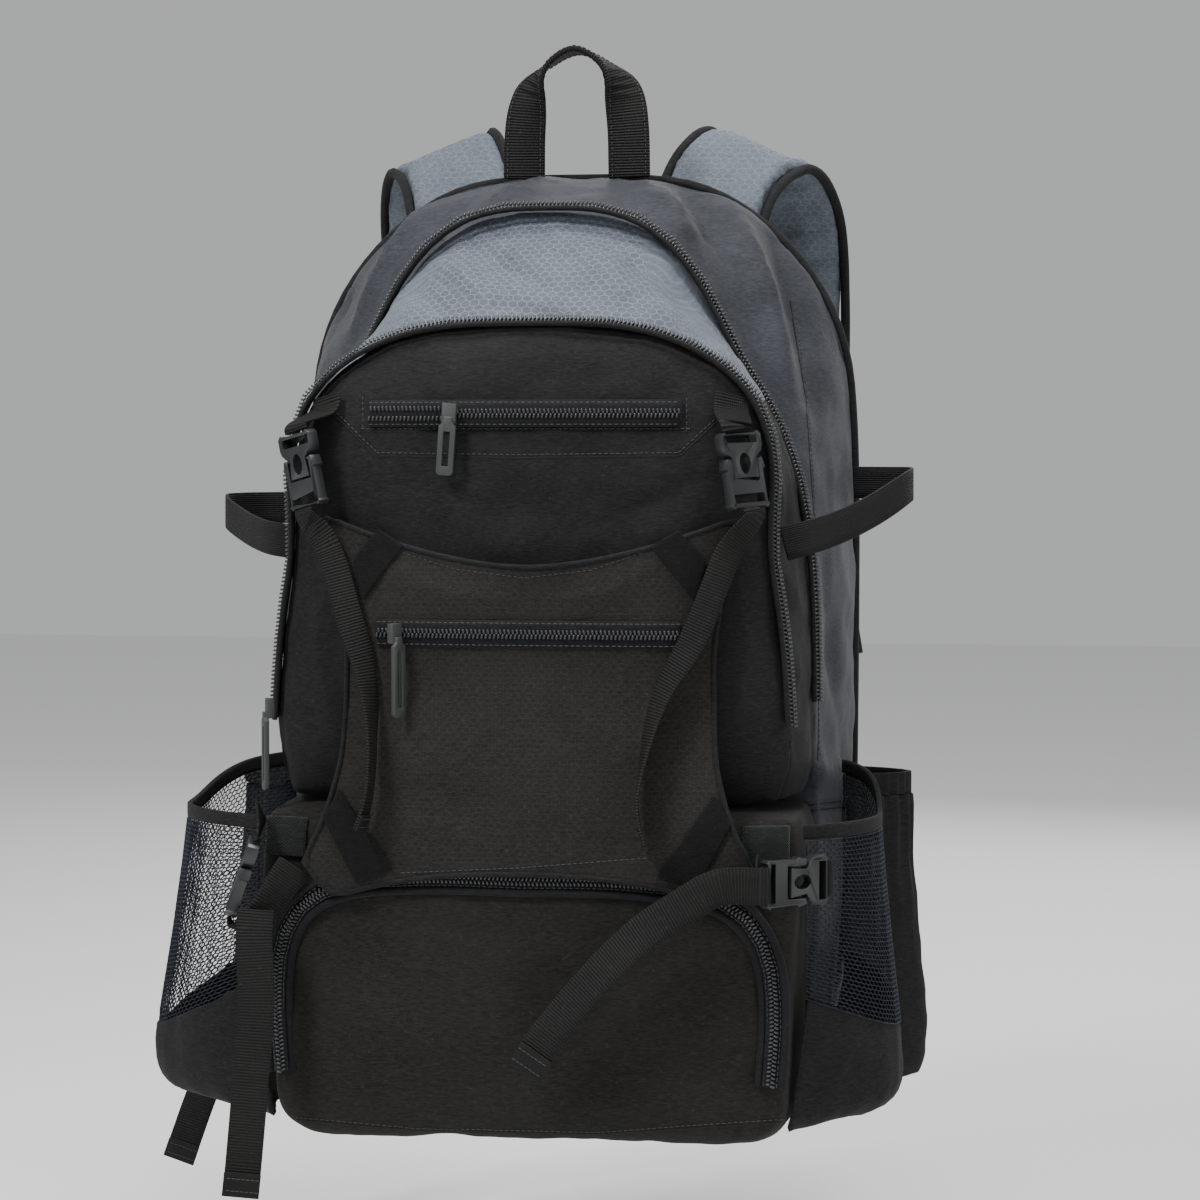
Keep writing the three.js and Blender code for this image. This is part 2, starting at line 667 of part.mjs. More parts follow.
function strap(rows, width, wall, steps, section = FLAT) {
  const curve = new THREE.CatmullRomCurve3(rows.map((row) => row.at), false, 'centripetal');
  const rings = Array.from({ length: steps + 1 }, (_, i) => {
    const t = i / steps;
    const k = Math.min(Math.floor(t * (rows.length - 1)), rows.length - 2);
    const across = rows[k].wide.clone().lerp(rows[k + 1].wide, t * (rows.length - 1) - k);
    const along = curve.getTangent(t);
    across.addScaledVector(along, -across.dot(along)).normalize();
    const normal = along.clone().cross(across);
    return section.map((corner) => {
      const place = curve.getPoint(t).addScaledVector(across, (corner.a * width) / 2);
      return place.addScaledVector(normal, (corner.b * wall) / 2);
    });
  });
  return ringSolid(rings, true);
}

function mirrored(rows, side) {
  return rows.map((row) => ({
    at: point(side * row.at.x, row.at.y, row.at.z),
    wide: point(side * row.wide.x, row.wide.y, row.wide.z),
  }));
}

// Grab handle: one length of webbing, flat to the bag at its feet and on edge at its top.
function grabHandle() {
  const foot = MAIN_BACK - HANDLE_INSET;
  const crest = THREE.MathUtils.lerp(REAR_HEIGHT, FRONT_HEIGHT, FIRST_RING) + GUSSET_BULGE;
  const share = HANDLE_INSET / (FIRST_RING * MAIN_DEPTH);
  const low = THREE.MathUtils.lerp(REAR_HEIGHT, crest, share) + 2 * GAP;
  const high = REAR_HEIGHT + HANDLE_RISE;
  const side = [
    { at: point(HANDLE_HALF, foot, low), wide: point(1, 0, 0) },
    { at: point(HANDLE_HALF - 1, foot, low + 0.45 * HANDLE_RISE), wide: point(1, 0.1, 0) },
    { at: point(HANDLE_HALF * 0.84, foot, low + 0.73 * HANDLE_RISE), wide: point(0.75, 0.6, -0.2) },
    { at: point(HANDLE_HALF * 0.5, foot, low + 0.91 * HANDLE_RISE), wide: point(0.15, 1, 0) },
  ];
  const top = { at: point(0, foot, high), wide: point(0, 1, 0) };
  const path = [...side, top, ...mirrored(side, -1).reverse()];
  add('grab_handle', strap(path, HANDLE_WIDTH, 2 * WEB_WALL, 30), WEBBING);
}

grabHandle();

// Shoulder straps: pads over the shoulders, then webbing through an adjuster to the bottom corners.
// Each row: share of the strap spread, share of the reach, and drop below the crest as a share of
// the pad's fall. Turn and bank lean the width of the strap to the front and upwards.
const PAD_FALL = STRAP_CREST - STRAP_END;
const PAD_ROWS = [
  { out: 0.61, reach: 0.06, drop: 0.194, turn: 0, bank: 0 },
  { out: 0.71, reach: 0.21, drop: 0.059, turn: 0, bank: -0.26 },
  { out: 0.86, reach: 0.51, drop: 0, turn: 0, bank: -0.47 },
  { out: 0.98, reach: 0.8, drop: 0.099, turn: 0, bank: -0.32 },
  { out: 1, reach: 0.96, drop: 0.302, turn: 0, bank: 0 },
  { out: 0.99, reach: 1, drop: 0.549, turn: 0, bank: 0 },
  { out: 1.01, reach: 0.98, drop: 0.796, turn: -0.21, bank: 0.21 },
  { out: 1.11, reach: 0.93, drop: 1, turn: -0.33, bank: 0.33 },
];
const WEB_ROWS = [
  { out: 1.3, reach: 0.6, drop: 1.309, turn: -0.8, bank: 0.4 },
  { out: 1.39, reach: 0.25, drop: 1.469, turn: -1.6, bank: 0.8 },
  { out: 1.34, reach: 0.05, drop: 1.56, turn: 0, bank: -0.5 },
  { out: 1.24, reach: 0.0095, drop: 1.62, turn: 0, bank: -0.6 },
];
const STRAP_TAILS = {
  left: [
    { out: 0, reach: 0, drop: 0 }, { out: 0.22, reach: -0.1, drop: 0.216 },
    { out: 0.62, reach: -0.34, drop: 0.494 }, { out: 0.96, reach: -0.56, drop: 0.694 },
    { out: 1.14, reach: -0.68, drop: 0.889 },
  ],
  right: [
    { out: 0, reach: 0, drop: 0 }, { out: 0.03, reach: 0.02, drop: 0.185 },
    { out: 0.05, reach: 0.03, drop: 0.463 },
  ],
};
const ADJUSTER_WALL = 4;
const ADJUSTER_LENGTH = 30;

function strapRow(row) {
  return {
    at: point(row.out * STRAP_SPREAD, row.reach * STRAP_REACH, STRAP_CREST - row.drop * PAD_FALL),
    wide: point(1, row.turn, row.bank),
  };
}

// The adjuster continues the line of the pad, and the webbing and the free tail leave its far end.
function shoulderStraps() {
  const pad = PAD_ROWS.map(strapRow);
  const end = pad[pad.length - 1];
  const fall = end.at.clone().sub(pad[pad.length - 2].at).normalize();
  const below = (distance, behind = 0) => {
    const at = end.at.clone().addScaledVector(fall, distance);
    at.y += behind;
    return { at, wide: end.wide };
  };
  const adjuster = [below(2 * GAP), below(2 * GAP + ADJUSTER_LENGTH / 2), below(2 * GAP + ADJUSTER_LENGTH)];
  const leave = 4 * GAP + ADJUSTER_LENGTH;
  const beside = (WEB_WALL + 2 * GAP) / 2;
  const web = [below(leave, -beside), below(leave + 2 * WEB_WALL, -beside), ...WEB_ROWS.map(strapRow)];
  [-1, 1].forEach((side) => {
    const word = side < 0 ? 'left' : 'right';
    add(`shoulder_strap_${word}`, strap(mirrored(pad, side), PAD_WIDTH, PAD_WALL, 22, PADDED), CLOTH_SLATE);
    add(`strap_webbing_${word}`, strap(mirrored(web, side), WEB_WIDTH, WEB_WALL, 14), WEBBING);
    const lock = strap(mirrored(adjuster, side), BUCKLE_WIDTH, ADJUSTER_WALL, 2);
    add(`strap_adjuster_${word}`, lock, PLASTIC);
    const start = below(leave, beside);
    const tail = STRAP_TAILS[word].map((row) => ({
      at: start.at.clone().add(point(row.out * STRAP_SPREAD, row.reach * STRAP_REACH, -row.drop * PAD_FALL)),
      wide: point(1, -0.2, 0.1),
    }));
    const path = [start, below(leave + 6 * WEB_WALL, beside + WEB_WALL / 2), ...tail.slice(1)];
    add(`strap_tail_${word}`, strap(mirrored(path, side), WEB_WIDTH, WEB_WALL, 14), WEBBING);
  });
}

shoulderStraps();

// Elastic bat straps: each stands out from the gusset as a loop. Each row: share of the way out to
// the loop's outermost place, share of the bag's depth, and share of the climb.
const BAT_STRAP_ROWS = [
  { out: 0, depth: 0.955, up: 0 }, { out: 0.19, depth: 0.94, up: 0.1 }, { out: 0.42, depth: 0.825, up: 0.25 },
  { out: 0.72, depth: 0.64, up: 0.55 }, { out: 1, depth: 0.448, up: 0.95 }, { out: 1, depth: 0.3, up: 1 },
  { out: 0.64, depth: 0.16, up: 1 }, { out: 0, depth: 0.105, up: 1 },
];
const SLEEVE_SIDE = 0.28;

function batStraps() {
  const seat = POCKET_HALF * 0.93 + GUSSET_BULGE + BAT_STRAP_WALL / 2 + 2 * GAP;
  const rear = REAR_HALF + BAT_STRAP_WALL / 2 + GAP;
  [-1, 1].forEach((side) => {
    const climb = side < 0 ? BAT_STRAP_CLIMB_LEFT : BAT_STRAP_CLIMB_RIGHT;
    const path = BAT_STRAP_ROWS.map((row) => ({
      at: point(
        THREE.MathUtils.lerp(row.depth < SLEEVE_SIDE ? rear : seat, BAT_LOOP_HALF, row.out),
        MIDDLE_FRONT * row.depth,
        BAT_STRAP_HEIGHT + row.up * climb,
      ),
      wide: point(0, 0, 1),
    }));
    const name = `bat_strap_${side < 0 ? 'left' : 'right'}`;
    add(name, strap(mirrored(path, side), BAT_STRAP_WIDTH, BAT_STRAP_WALL, 22), WEBBING);
  });
}

batStraps();

// Side release buckle: a socket with a waist and an oval window, and a plug whose arms fill the waist.
function halfShape(rows) {
  const shape = new THREE.Shape();
  rows.forEach((row, i) => (i === 0 ? shape.moveTo(row.x, row.z) : shape.lineTo(row.x, row.z)));
  [...rows].reverse().forEach((row) => { if (row.x > 0) shape.lineTo(-row.x, row.z); });
  return shape;
}

function slot(low, high) {
  const half = WEB_WIDTH / 2 + 0.6;
  return new THREE.Path([[half, low], [half, high], [-half, high], [-half, low]].map(([x, z]) => {
    return new THREE.Vector2(x, z);
  }));
}

function buckle() {
  const half = BUCKLE_WIDTH / 2;
  const waist = half - 5;
  const arm = waist + GAP;
  const socket = halfShape([
    { x: 0, z: GAP }, { x: waist, z: GAP }, { x: waist, z: 12 }, { x: half - 1, z: 15 },
    { x: half, z: 18 }, { x: half, z: SOCKET_LENGTH - 2 }, { x: half - 2, z: SOCKET_LENGTH },
    { x: 0, z: SOCKET_LENGTH },
  ]);
  const oval = new THREE.Path();
  oval.absellipse(0, 8.5, 4, 6, 0, 2 * Math.PI, true);
  socket.holes.push(slot(SOCKET_LENGTH - 6.5, SOCKET_LENGTH - 2.6), oval);
  const plug = halfShape([
    { x: 0, z: -PLUG_LENGTH }, { x: half - 2, z: -PLUG_LENGTH }, { x: half, z: 2 - PLUG_LENGTH },
    { x: half, z: 6 }, { x: half - 1.4, z: 11.5 }, { x: arm, z: 10.5 }, { x: arm, z: 0 }, { x: 0, z: 0 },
  ]);
  plug.holes.push(slot(2.6 - PLUG_LENGTH, 6.5 - PLUG_LENGTH));
  return [socket, plug].map((shape) => {
    const options = { depth: BUCKLE_WALL, bevelEnabled: false, curveSegments: 5 };
    const geometry = new THREE.ExtrudeGeometry(shape, options);
    geometry.translate(0, 0, -BUCKLE_WALL / 2);
    geometry.rotateX(Math.PI / 2);
    return geometry;
  });
}

// Each buckle stands at a place with the way its length and its width run.
const BUCKLES = {
  upper_left: {
    at: point(-0.96 * HOLDER_HALF, POCKET_BACK - 34, HOLDER_TOP + PLUG_LENGTH + 4),
    up: point(-0.2, 0.06, 1),
    wide: point(1, -0.8, 0.2),
  },
  upper_right: {
    at: point(0.968 * HOLDER_HALF, POCKET_BACK - 34, HOLDER_TOP + PLUG_LENGTH + 4),
    up: point(-0.16, 0.06, 1),
    wide: point(1, 1.1, 0.2),
  },
  lower_left: {
    at: point(-1.033 * LOWER_HALF, LOWER_EDGE - 27, 0.75 * LOWER_TOP),
    up: point(0.32, 0.05, 0.94),
    wide: point(-0.25, 0.97, 0),
  },
  lower_right: {
    at: point(0.967 * LOWER_HALF, LOWER_EDGE - 28, 0.8 * LOWER_TOP),
    up: point(0.72, 0.69, 0),
    wide: point(0, 0, -1),
  },
};

function buckleTurn(name) {
  const spot = BUCKLES[name];
  const up = spot.up.clone().normalize();
  const wide = spot.wide.clone().addScaledVector(up, -spot.wide.dot(up)).normalize();
  return new THREE.Matrix4().makeBasis(wide, up.clone().cross(wide), up).setPosition(spot.at);
}

function buckles() {
  Object.keys(BUCKLES).forEach((name) => {
    const [socket, plug] = buckle();
    add(`buckle_${name}_socket`, socket.applyMatrix4(buckleTurn(name)), PLASTIC);
    add(`buckle_${name}_plug`, plug.applyMatrix4(buckleTurn(name)), PLASTIC);
  });
}

buckles();

// A place on a buckle: across it, outwards from the bag, and along it.
function onBuckle(name, across, out, along) {
  return point(across, -out, along).applyMatrix4(buckleTurn(name));
}

const SOCKET_END = SOCKET_LENGTH + GAP;
const PLUG_END = -PLUG_LENGTH - GAP;

function row(x, y, z, wideX, wideY, wideZ) {
  return { at: point(x, y, z), wide: point(wideX, wideY, wideZ) };
}

function endRow(name, out, along) {
  return { at: onBuckle(name, 0, out, along), wide: BUCKLES[name].wide.clone() };
}

// The first stretch of webbing that leaves a buckle straight.
function leaving(name, end, out = 0) {
  return [endRow(name, out, end), endRow(name, out, end + 4 * Math.sign(end))];
}

// Where the upper anchors are sewn, as a share of the front pocket's half width.
const ANCHOR_SEAT = 0.78;

// Webbing laid flat on the front pocket: its width follows the slope of the face.
function onPocket(x, z) {
  const half = WEB_WIDTH / 2;
  const slope = pocketFace(x + half, z) - pocketFace(x - half, z);
  return row(x, pocketFace(x, z) - WEB_WALL / 2 - 4 * GAP, z, 1, slope / WEB_WIDTH, 0);
}

// Short webbing from each upper buckle up to the seam of the front pocket.
function upperAnchors() {
  ['upper_left', 'upper_right'].forEach((name) => {
    const socketTop = onBuckle(name, 0, 0, SOCKET_END);
    const x = Math.sign(socketTop.x) * ANCHOR_SEAT * POCKET_HALF;
    const rows = [
      ...leaving(name, SOCKET_END),
      onPocket(x, socketTop.z + 0.6 * WEB_WIDTH),
      onPocket(x, socketTop.z + WEB_WIDTH),
    ];
    add(`anchor_${name}`, strap(rows, WEB_WIDTH, WEB_WALL, 8), WEBBING);
  });
}

// Free ends that hang from the upper buckles and turn on edge on their way down. Each row: shares of
// the holder's half width and top height, share of the webbing's width that it stands off, and the
// way its width runs.
const UPPER_TAIL_WIDTH = 0.75 * WEB_WIDTH;
const UPPER_TAIL_ROWS = {
  upper_left: [
    { side: -0.857, up: 0.958, off: 0.45, wide: point(0.8, 0.5, 0) },
    { side: -0.746, up: 0.829, off: 0.45, wide: point(0.9, 0.35, 0) },
    { side: -0.667, up: 0.737, off: 0.45, wide: point(0.6, 0.8, 0) },
    { side: -0.635, up: 0.638, off: 0.55, wide: point(0.05, 1, 0) },
    { side: -0.643, up: 0.539, off: 0.55, wide: point(0.05, 1, 0) },
    { side: -0.683, up: 0.488, off: 0.55, wide: point(0.2, 1, 0) },
  ],
  upper_right: [
    { side: 0.921, up: 0.952, off: 0.5, wide: point(0.95, 0.3, 0.1) },
    { side: 0.857, up: 0.892, off: 0.5, wide: point(0.9, 0.2, 0.3) },
    { side: 0.762, up: 0.802, off: 0.45, wide: point(0.9, 0, 0.3) },
    { side: 0.619, up: 0.707, off: 0.5, wide: point(0.7, -0.5, 0.3) },
    { side: 0.548, up: 0.59, off: 0.55, wide: point(0.2, -1, 0) },
    { side: 0.532, up: 0.533, off: 0.55, wide: point(0.1, -1, 0) },
    { side: 0.563, up: 0.47, off: 0.55, wide: point(0.2, -1, 0) },
  ],
};

function upperTails() {
  Object.entries(UPPER_TAIL_ROWS).forEach(([name, turns]) => {
    const hanging = turns.map((turn) => {
      const x = turn.side * HOLDER_HALF;
      const z = turn.up * HOLDER_TOP;
      return { at: point(x, holderFace(x, z) - turn.off * WEB_WIDTH, z), wide: turn.wide };
    });
    const path = [...leaving(name, PLUG_END, 5), ...hanging];
    add(`tail_${name}`, strap(path, UPPER_TAIL_WIDTH, WEB_WALL, 20), WEBBING);
  });
}

// Free ends at the lower buckles. Each row: shares of the lower compartment's half width, depth and
// top height, and the way its width runs.
const LOWER_TAIL_ROWS = {
  lower_left: [
    { side: -0.947, deep: 1.2214, up: 0.686, wide: point(0.95, 0.3, 0.1) },
    { side: -0.947, deep: 1.2447, up: 0.605, wide: point(0.95, 0.3, 0.2) },
    { side: -0.941, deep: 1.2394, up: 0.39, wide: point(0.97, 0.2, 0) },
    { side: -0.967, deep: 1.2341, up: 0.128, wide: point(0.97, 0.2, 0) },
    { side: -1, deep: 1.2235, up: -0.151, wide: point(0.97, 0.2, 0.05) },
    { side: -1.013, deep: 1.2182, up: -0.244, wide: point(0.97, 0.2, 0.1) },
  ],
  lower_right: [
    { side: 0.737, deep: 1.25, up: 0.797, wide: point(0.2, 0, -0.97) },
    { side: 0.632, deep: 1.266, up: 0.744, wide: point(0.35, -0.1, -0.9) },
    { side: 0.461, deep: 1.2765, up: 0.645, wide: point(0.4, -0.35, -0.8) },
    { side: 0.283, deep: 1.2765, up: 0.483, wide: point(0.6, -0.3, -0.7) },
    { side: 0.125, deep: 1.266, up: 0.308, wide: point(0.75, -0.1, -0.6) },
    { side: 0.046, deep: 1.2553, up: 0.198, wide: point(0.8, 0, -0.5) },
  ],
};

function lowerTails() {
  Object.entries(LOWER_TAIL_ROWS).forEach(([name, turns]) => {
    const hanging = turns.map((turn) => ({
      at: point(turn.side * LOWER_HALF, turn.deep * LOWER_EDGE, turn.up * LOWER_TOP),
      wide: turn.wide,
    }));
    const start = name === 'lower_right' ? leaving(name, PLUG_END, 6) : [];
    add(`tail_${name}`, strap([...start, ...hanging], WEB_WIDTH, WEB_WALL, 18), WEBBING);
  });
}

// Webbing at the lower buckles: anchors to the bag and corner webs to the holder.
function lowerWebs() {
  const tip = HOLDER_HALF + GAP;
  const tipHeight = HOLDER_BOTTOM + 20;
  const tipDepth = holderFace(HOLDER_SHIFT + tip, tipHeight) + HOLDER_WALL / 2;
  const patchSide = PATCH_OUTER * LOWER_HALF + GAP + WEB_WALL / 2;
  const patchDepth = lowerFace(patchSide, LOWER_TOP - 8) - WEB_WIDTH / 2 - 2 * GAP;
  const webs = {
    corner_web_left: [
      row(HOLDER_SHIFT - tip - 3, tipDepth - 1, tipHeight - 3, 0.5, 0.2, -0.8),
      row(HOLDER_SHIFT - tip - 18, tipDepth - 7, tipHeight - 26, 0.4, 0.5, -0.7),
      row(HOLDER_SHIFT - tip - 30, tipDepth - 6, tipHeight - 40, 0.2, 0.8, -0.3),
      ...leaving('lower_left', PLUG_END).reverse(),
    ],
    corner_web_right: [
      row(HOLDER_SHIFT + tip + 1, tipDepth, tipHeight, 0, 0, -1),
      ...leaving('lower_right', PLUG_END).reverse(),
    ],
    anchor_lower_left: [
      ...leaving('lower_left', SOCKET_END),
      row(-patchSide, patchDepth, LOWER_TOP - 2, 0, 1, 0),
    ],
    anchor_lower_right: [
      ...leaving('lower_right', SOCKET_END),
      row(LOWER_HALF + 17, LOWER_EDGE - 5, 0.8 * LOWER_TOP, 0, 0, -1),
      row(LOWER_HALF + 5, LOWER_EDGE - 2, 0.8 * LOWER_TOP, 0, 0, -1),
    ],
  };
  Object.entries(webs).forEach(([name, rows]) => {
    add(name, strap(rows, WEB_WIDTH, WEB_WALL, 5), WEBBING);
  });
}

upperAnchors();
upperTails();
lowerWebs();
lowerTails();

// Zip pulls: a slider with a long slotted pull, fused into one piece.
function fused(...geometries) {
  const solids = geometries.map((geometry) => {
    const bare = geometry.clone();
    bare.deleteAttribute('normal');
    bare.deleteAttribute('uv');
    const merged = mergeVertices(bare);
    return new wasm.Manifold(new wasm.Mesh({
      numProp: 3,
      vertProperties: new Float32Array(merged.attributes.position.array),
      triVerts: new Uint32Array(merged.index.array),
    }));
  });
  const mesh = solids.reduce((whole, next) => whole.add(next)).getMesh();
  const geometry = new THREE.BufferGeometry();
  geometry.setAttribute('position', new THREE.BufferAttribute(mesh.vertProperties, 3));
  geometry.setIndex(new THREE.BufferAttribute(mesh.triVerts, 1));
  geometry.computeVertexNormals();
  return geometry;
}

const SLIDER_WIDTH = 8;
const SLIDER_WALL = 4;
const SLIDER_LENGTH = 11;

// How far a slider turned by an angle reaches from its middle towards its zip.
function sliderReach(turn) {
  return (SLIDER_WIDTH * Math.sin(turn) + SLIDER_WALL * Math.cos(turn)) / 2;
}

function zipPull(length) {
  const half = PULL_WIDTH / 2;
  const low = -length - 3;
  const shape = halfShape([
    { x: 0, z: -2 }, { x: 2.2, z: -2 }, { x: 2.4, z: -5 }, { x: half, z: -7 },
    { x: half, z: low + 1.5 }, { x: half - 1.5, z: low }, { x: 0, z: low },
  ]);
  const hole = [[1.8, low + 5], [1.8, -10], [-1.8, -10], [-1.8, low + 5]];
  shape.holes.push(new THREE.Path(hole.map(([x, z]) => new THREE.Vector2(x, z))));
  const tab = new THREE.ExtrudeGeometry(shape, { depth: PULL_THICKNESS, bevelEnabled: false });
  tab.rotateX(Math.PI / 2);
  tab.translate(0, -PULL_THICKNESS / 2, 0);
  const slider = new THREE.BoxGeometry(SLIDER_WIDTH, SLIDER_WALL, SLIDER_LENGTH);
  return fused(tab, slider);
}

const SIDE_TURN = 1.1;

function zipPulls() {
  const off = ZIP_HEIGHT + 3 * GAP;
  const chest = zipPull(PULL_LENGTH);
  const chestPlace = -0.46 * CHEST_ZIP_HALF;
  const chestDepth = Math.min(
    pocketFace(chestPlace, CHEST_ZIP_HEIGHT) - off - sliderReach(0),
    pocketFace(chestPlace, CHEST_ZIP_HEIGHT - PULL_LENGTH) - PULL_THICKNESS / 2 - 2 * GAP,
  );
  chest.rotateY(0.07);
  chest.translate(chestPlace, chestDepth, CHEST_ZIP_HEIGHT);
  add('chest_pull', chest, PLASTIC);
  const held = zipPull(LONG_PULL_LENGTH);
  const heldPlace = HOLDER_SHIFT - 0.857 * HOLDER_ZIP_HALF;
  const heldDepth = holderFace(heldPlace, HOLDER_ZIP_HEIGHT) - off - sliderReach(SIDE_TURN);
  held.rotateZ(SIDE_TURN);
  held.translate(heldPlace, heldDepth, HOLDER_ZIP_HEIGHT);
  add('holder_pull', held, PLASTIC);
  const side = zipPull(LONG_PULL_LENGTH);
  side.rotateZ(-SIDE_TURN);
  side.translate(-POCKET_HALF - 0.35 * SLIDER_WIDTH, POCKET_BACK - 1.3 * ZIP_WIDTH, ZIP_END_HEIGHT + 8);
  add('pocket_pull', side, PLASTIC);
}

zipPulls();

export default bag;
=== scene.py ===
import math

import bmesh
import bpy
import numpy as np
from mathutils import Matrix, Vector, noise
from mathutils.bvhtree import BVHTree


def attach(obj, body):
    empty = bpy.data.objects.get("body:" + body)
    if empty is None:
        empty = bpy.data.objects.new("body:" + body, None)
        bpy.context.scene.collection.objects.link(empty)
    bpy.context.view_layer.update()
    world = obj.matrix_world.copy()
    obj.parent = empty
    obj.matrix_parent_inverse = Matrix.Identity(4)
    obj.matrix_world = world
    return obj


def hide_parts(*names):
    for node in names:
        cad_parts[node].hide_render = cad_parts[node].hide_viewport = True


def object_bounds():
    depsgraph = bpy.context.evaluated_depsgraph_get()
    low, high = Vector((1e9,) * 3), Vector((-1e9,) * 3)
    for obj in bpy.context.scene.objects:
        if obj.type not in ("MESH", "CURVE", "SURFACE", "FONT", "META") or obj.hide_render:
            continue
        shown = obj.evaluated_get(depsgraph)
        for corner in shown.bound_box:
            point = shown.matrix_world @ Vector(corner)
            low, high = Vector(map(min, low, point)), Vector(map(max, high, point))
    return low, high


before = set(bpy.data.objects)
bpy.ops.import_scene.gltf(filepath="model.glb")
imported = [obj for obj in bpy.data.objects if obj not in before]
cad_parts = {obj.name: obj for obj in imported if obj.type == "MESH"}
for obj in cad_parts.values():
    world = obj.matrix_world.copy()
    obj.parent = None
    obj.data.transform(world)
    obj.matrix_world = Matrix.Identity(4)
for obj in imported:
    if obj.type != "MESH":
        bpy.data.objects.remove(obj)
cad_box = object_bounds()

# The studio: a pale floor below the hanging bag, soft lamps, and the camera of the photograph.
# The camera stands 1.65 m from the bag, a little to its right and a little above its middle.
# All lengths are metres, unless a name ends in PX: those are points of the square photograph.
MM = 0.001
PHOTO_SIDE_PX = 1200
PHOTO_FOCUS_PX = 3085
VIEW_AZIMUTH = math.radians(9)
VIEW_ELEVATION = math.radians(3)
VIEW_DISTANCE = 1.65
VIEW_TARGET = Vector((0.048, -0.305, -0.260))
SENSOR_MM = 36
FLOOR_HEIGHT = cad_box[0].z - 60 * MM
FLOOR_REACH = 6
AIR_COLOUR = (0.95, 0.96, 0.97, 1)
AIR_STRENGTH = 0.5

scene = bpy.context.scene


def in_scene(name, data):
    made = bpy.data.objects.new(name, data)
    scene.collection.objects.link(made)
    return made


camera = in_scene("photo_camera", bpy.data.cameras.new("photo_camera"))
camera.data.sensor_width = SENSOR_MM
camera.data.lens = SENSOR_MM * PHOTO_FOCUS_PX / PHOTO_SIDE_PX
to_camera = Vector((
    math.sin(VIEW_AZIMUTH) * math.cos(VIEW_ELEVATION),
    -math.cos(VIEW_AZIMUTH) * math.cos(VIEW_ELEVATION),
    math.sin(VIEW_ELEVATION),
))
camera.location = VIEW_TARGET + VIEW_DISTANCE * to_camera
camera.rotation_mode = "QUATERNION"
camera.rotation_quaternion = (-to_camera).to_track_quat("-Z", "Y")
scene.camera = camera


def new_material(name):
    material = bpy.data.materials.new(name)
    material.use_nodes = True
    return material, material.node_tree, material.node_tree.nodes["Principled BSDF"]


def plain_material(name, colour, roughness):
    material, _, shader = new_material(name)
    shader.inputs["Base Color"].default_value = (*colour, 1)
    shader.inputs["Roughness"].default_value = roughness
    return material


def piece_from(name, bm):
    """A smooth-shaded piece made from a bmesh, which is freed."""
    mesh = bpy.data.meshes.new(name)
    bm.to_mesh(mesh)
    bm.free()
    mesh.shade_smooth()
    return in_scene(name, mesh)


floor_mesh = bmesh.new()
bmesh.ops.create_grid(floor_mesh, x_segments=1, y_segments=1, size=FLOOR_REACH)
bmesh.ops.translate(floor_mesh, verts=floor_mesh.verts, vec=(0, 0, FLOOR_HEIGHT))
floor = piece_from("floor", floor_mesh)
floor.data.materials.append(plain_material("floor_paint", (0.86, 0.86, 0.85), roughness=0.7))

LAMPS = [
    {"name": "key_lamp", "at": (-1.0, -1.5, 1.35), "size": 0.5, "power": 46},
    {"name": "fill_lamp", "at": (1.8, -1.4, 0.2), "size": 1.4, "power": 9},
    {"name": "top_lamp", "at": (0.3, -0.5, 1.6), "size": 0.7, "power": 40},
    {"name": "back_lamp", "at": (0.4, 2.0, 0.7), "size": 1.6, "power": 20},
]
for lamp_row in LAMPS:
    lamp = in_scene(lamp_row["name"], bpy.data.lights.new(lamp_row["name"], "AREA"))
    lamp.data.size = lamp_row["size"]
    lamp.data.energy = lamp_row["power"]
    lamp.location = lamp_row["at"]
    lamp.rotation_mode = "QUATERNION"
    lamp.rotation_quaternion = (VIEW_TARGET - lamp.location).to_track_quat("-Z", "Y")

world = bpy.data.worlds.new("studio_air")
world.use_nodes = True
air = world.node_tree.nodes["Background"].inputs
air["Color"].default_value = AIR_COLOUR
air["Strength"].default_value = AIR_STRENGTH
scene.world = world


# The back panel: a foam board in black air mesh, on the side that is worn against the back.
# It is sewn into the rear edge of the main compartment under a round binding, and stitched
# channels part it into pads.
def merged(node_name, quads=True):
    """A copy of a CAD node's solid with its corners joined, and its triangles paired into quads."""
    bm = bmesh.new()
    bm.from_mesh(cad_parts[node_name].data)
    bmesh.ops.remove_doubles(bm, verts=bm.verts, dist=0.01 * MM)
    if quads:
        bmesh.ops.join_triangles(
            bm, faces=bm.faces, angle_face_threshold=0.8, angle_shape_threshold=0.8
        )
    return bm


def evaluated(piece):
    """The mesh of an object as its modifiers leave it."""
    bpy.context.view_layer.update()
    ready = piece.evaluated_get(bpy.context.evaluated_depsgraph_get())
    return bpy.data.meshes.new_from_object(ready)


def settled(piece):
    """Applies a piece's modifiers to its own mesh."""
    done = evaluated(piece)
    piece.modifiers.clear()
    piece.data = done
    piece.data.shade_smooth()
    return piece


def smoothed(piece, levels):
    smoothing = piece.modifiers.new("smoothing", "SUBSURF")
    smoothing.levels = smoothing.render_levels = levels
    return settled(piece)


def dress(piece, slot, material, *nodes):
    """Gives a piece its material and its place on the bag, and hides the CAD nodes that it stands
    for.
    """
    piece.data.materials.clear()
    piece.data.materials.append(material)
    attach(piece, "root")
    if nodes:
        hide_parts(*nodes)
    return piece


def corners(mesh, what="co"):
    flat = np.empty(len(mesh.vertices) * 3)
    mesh.vertices.foreach_get(what, flat)
    return flat.reshape(-1, 3)


def move_to(piece, places):
    piece.data.vertices.foreach_set("co", places.ravel())
    piece.data.update()


def lengths_along(path):
    steps = np.linalg.norm(np.diff(path, axis=0), axis=1)
    return np.concatenate([[0], np.cumsum(steps)])


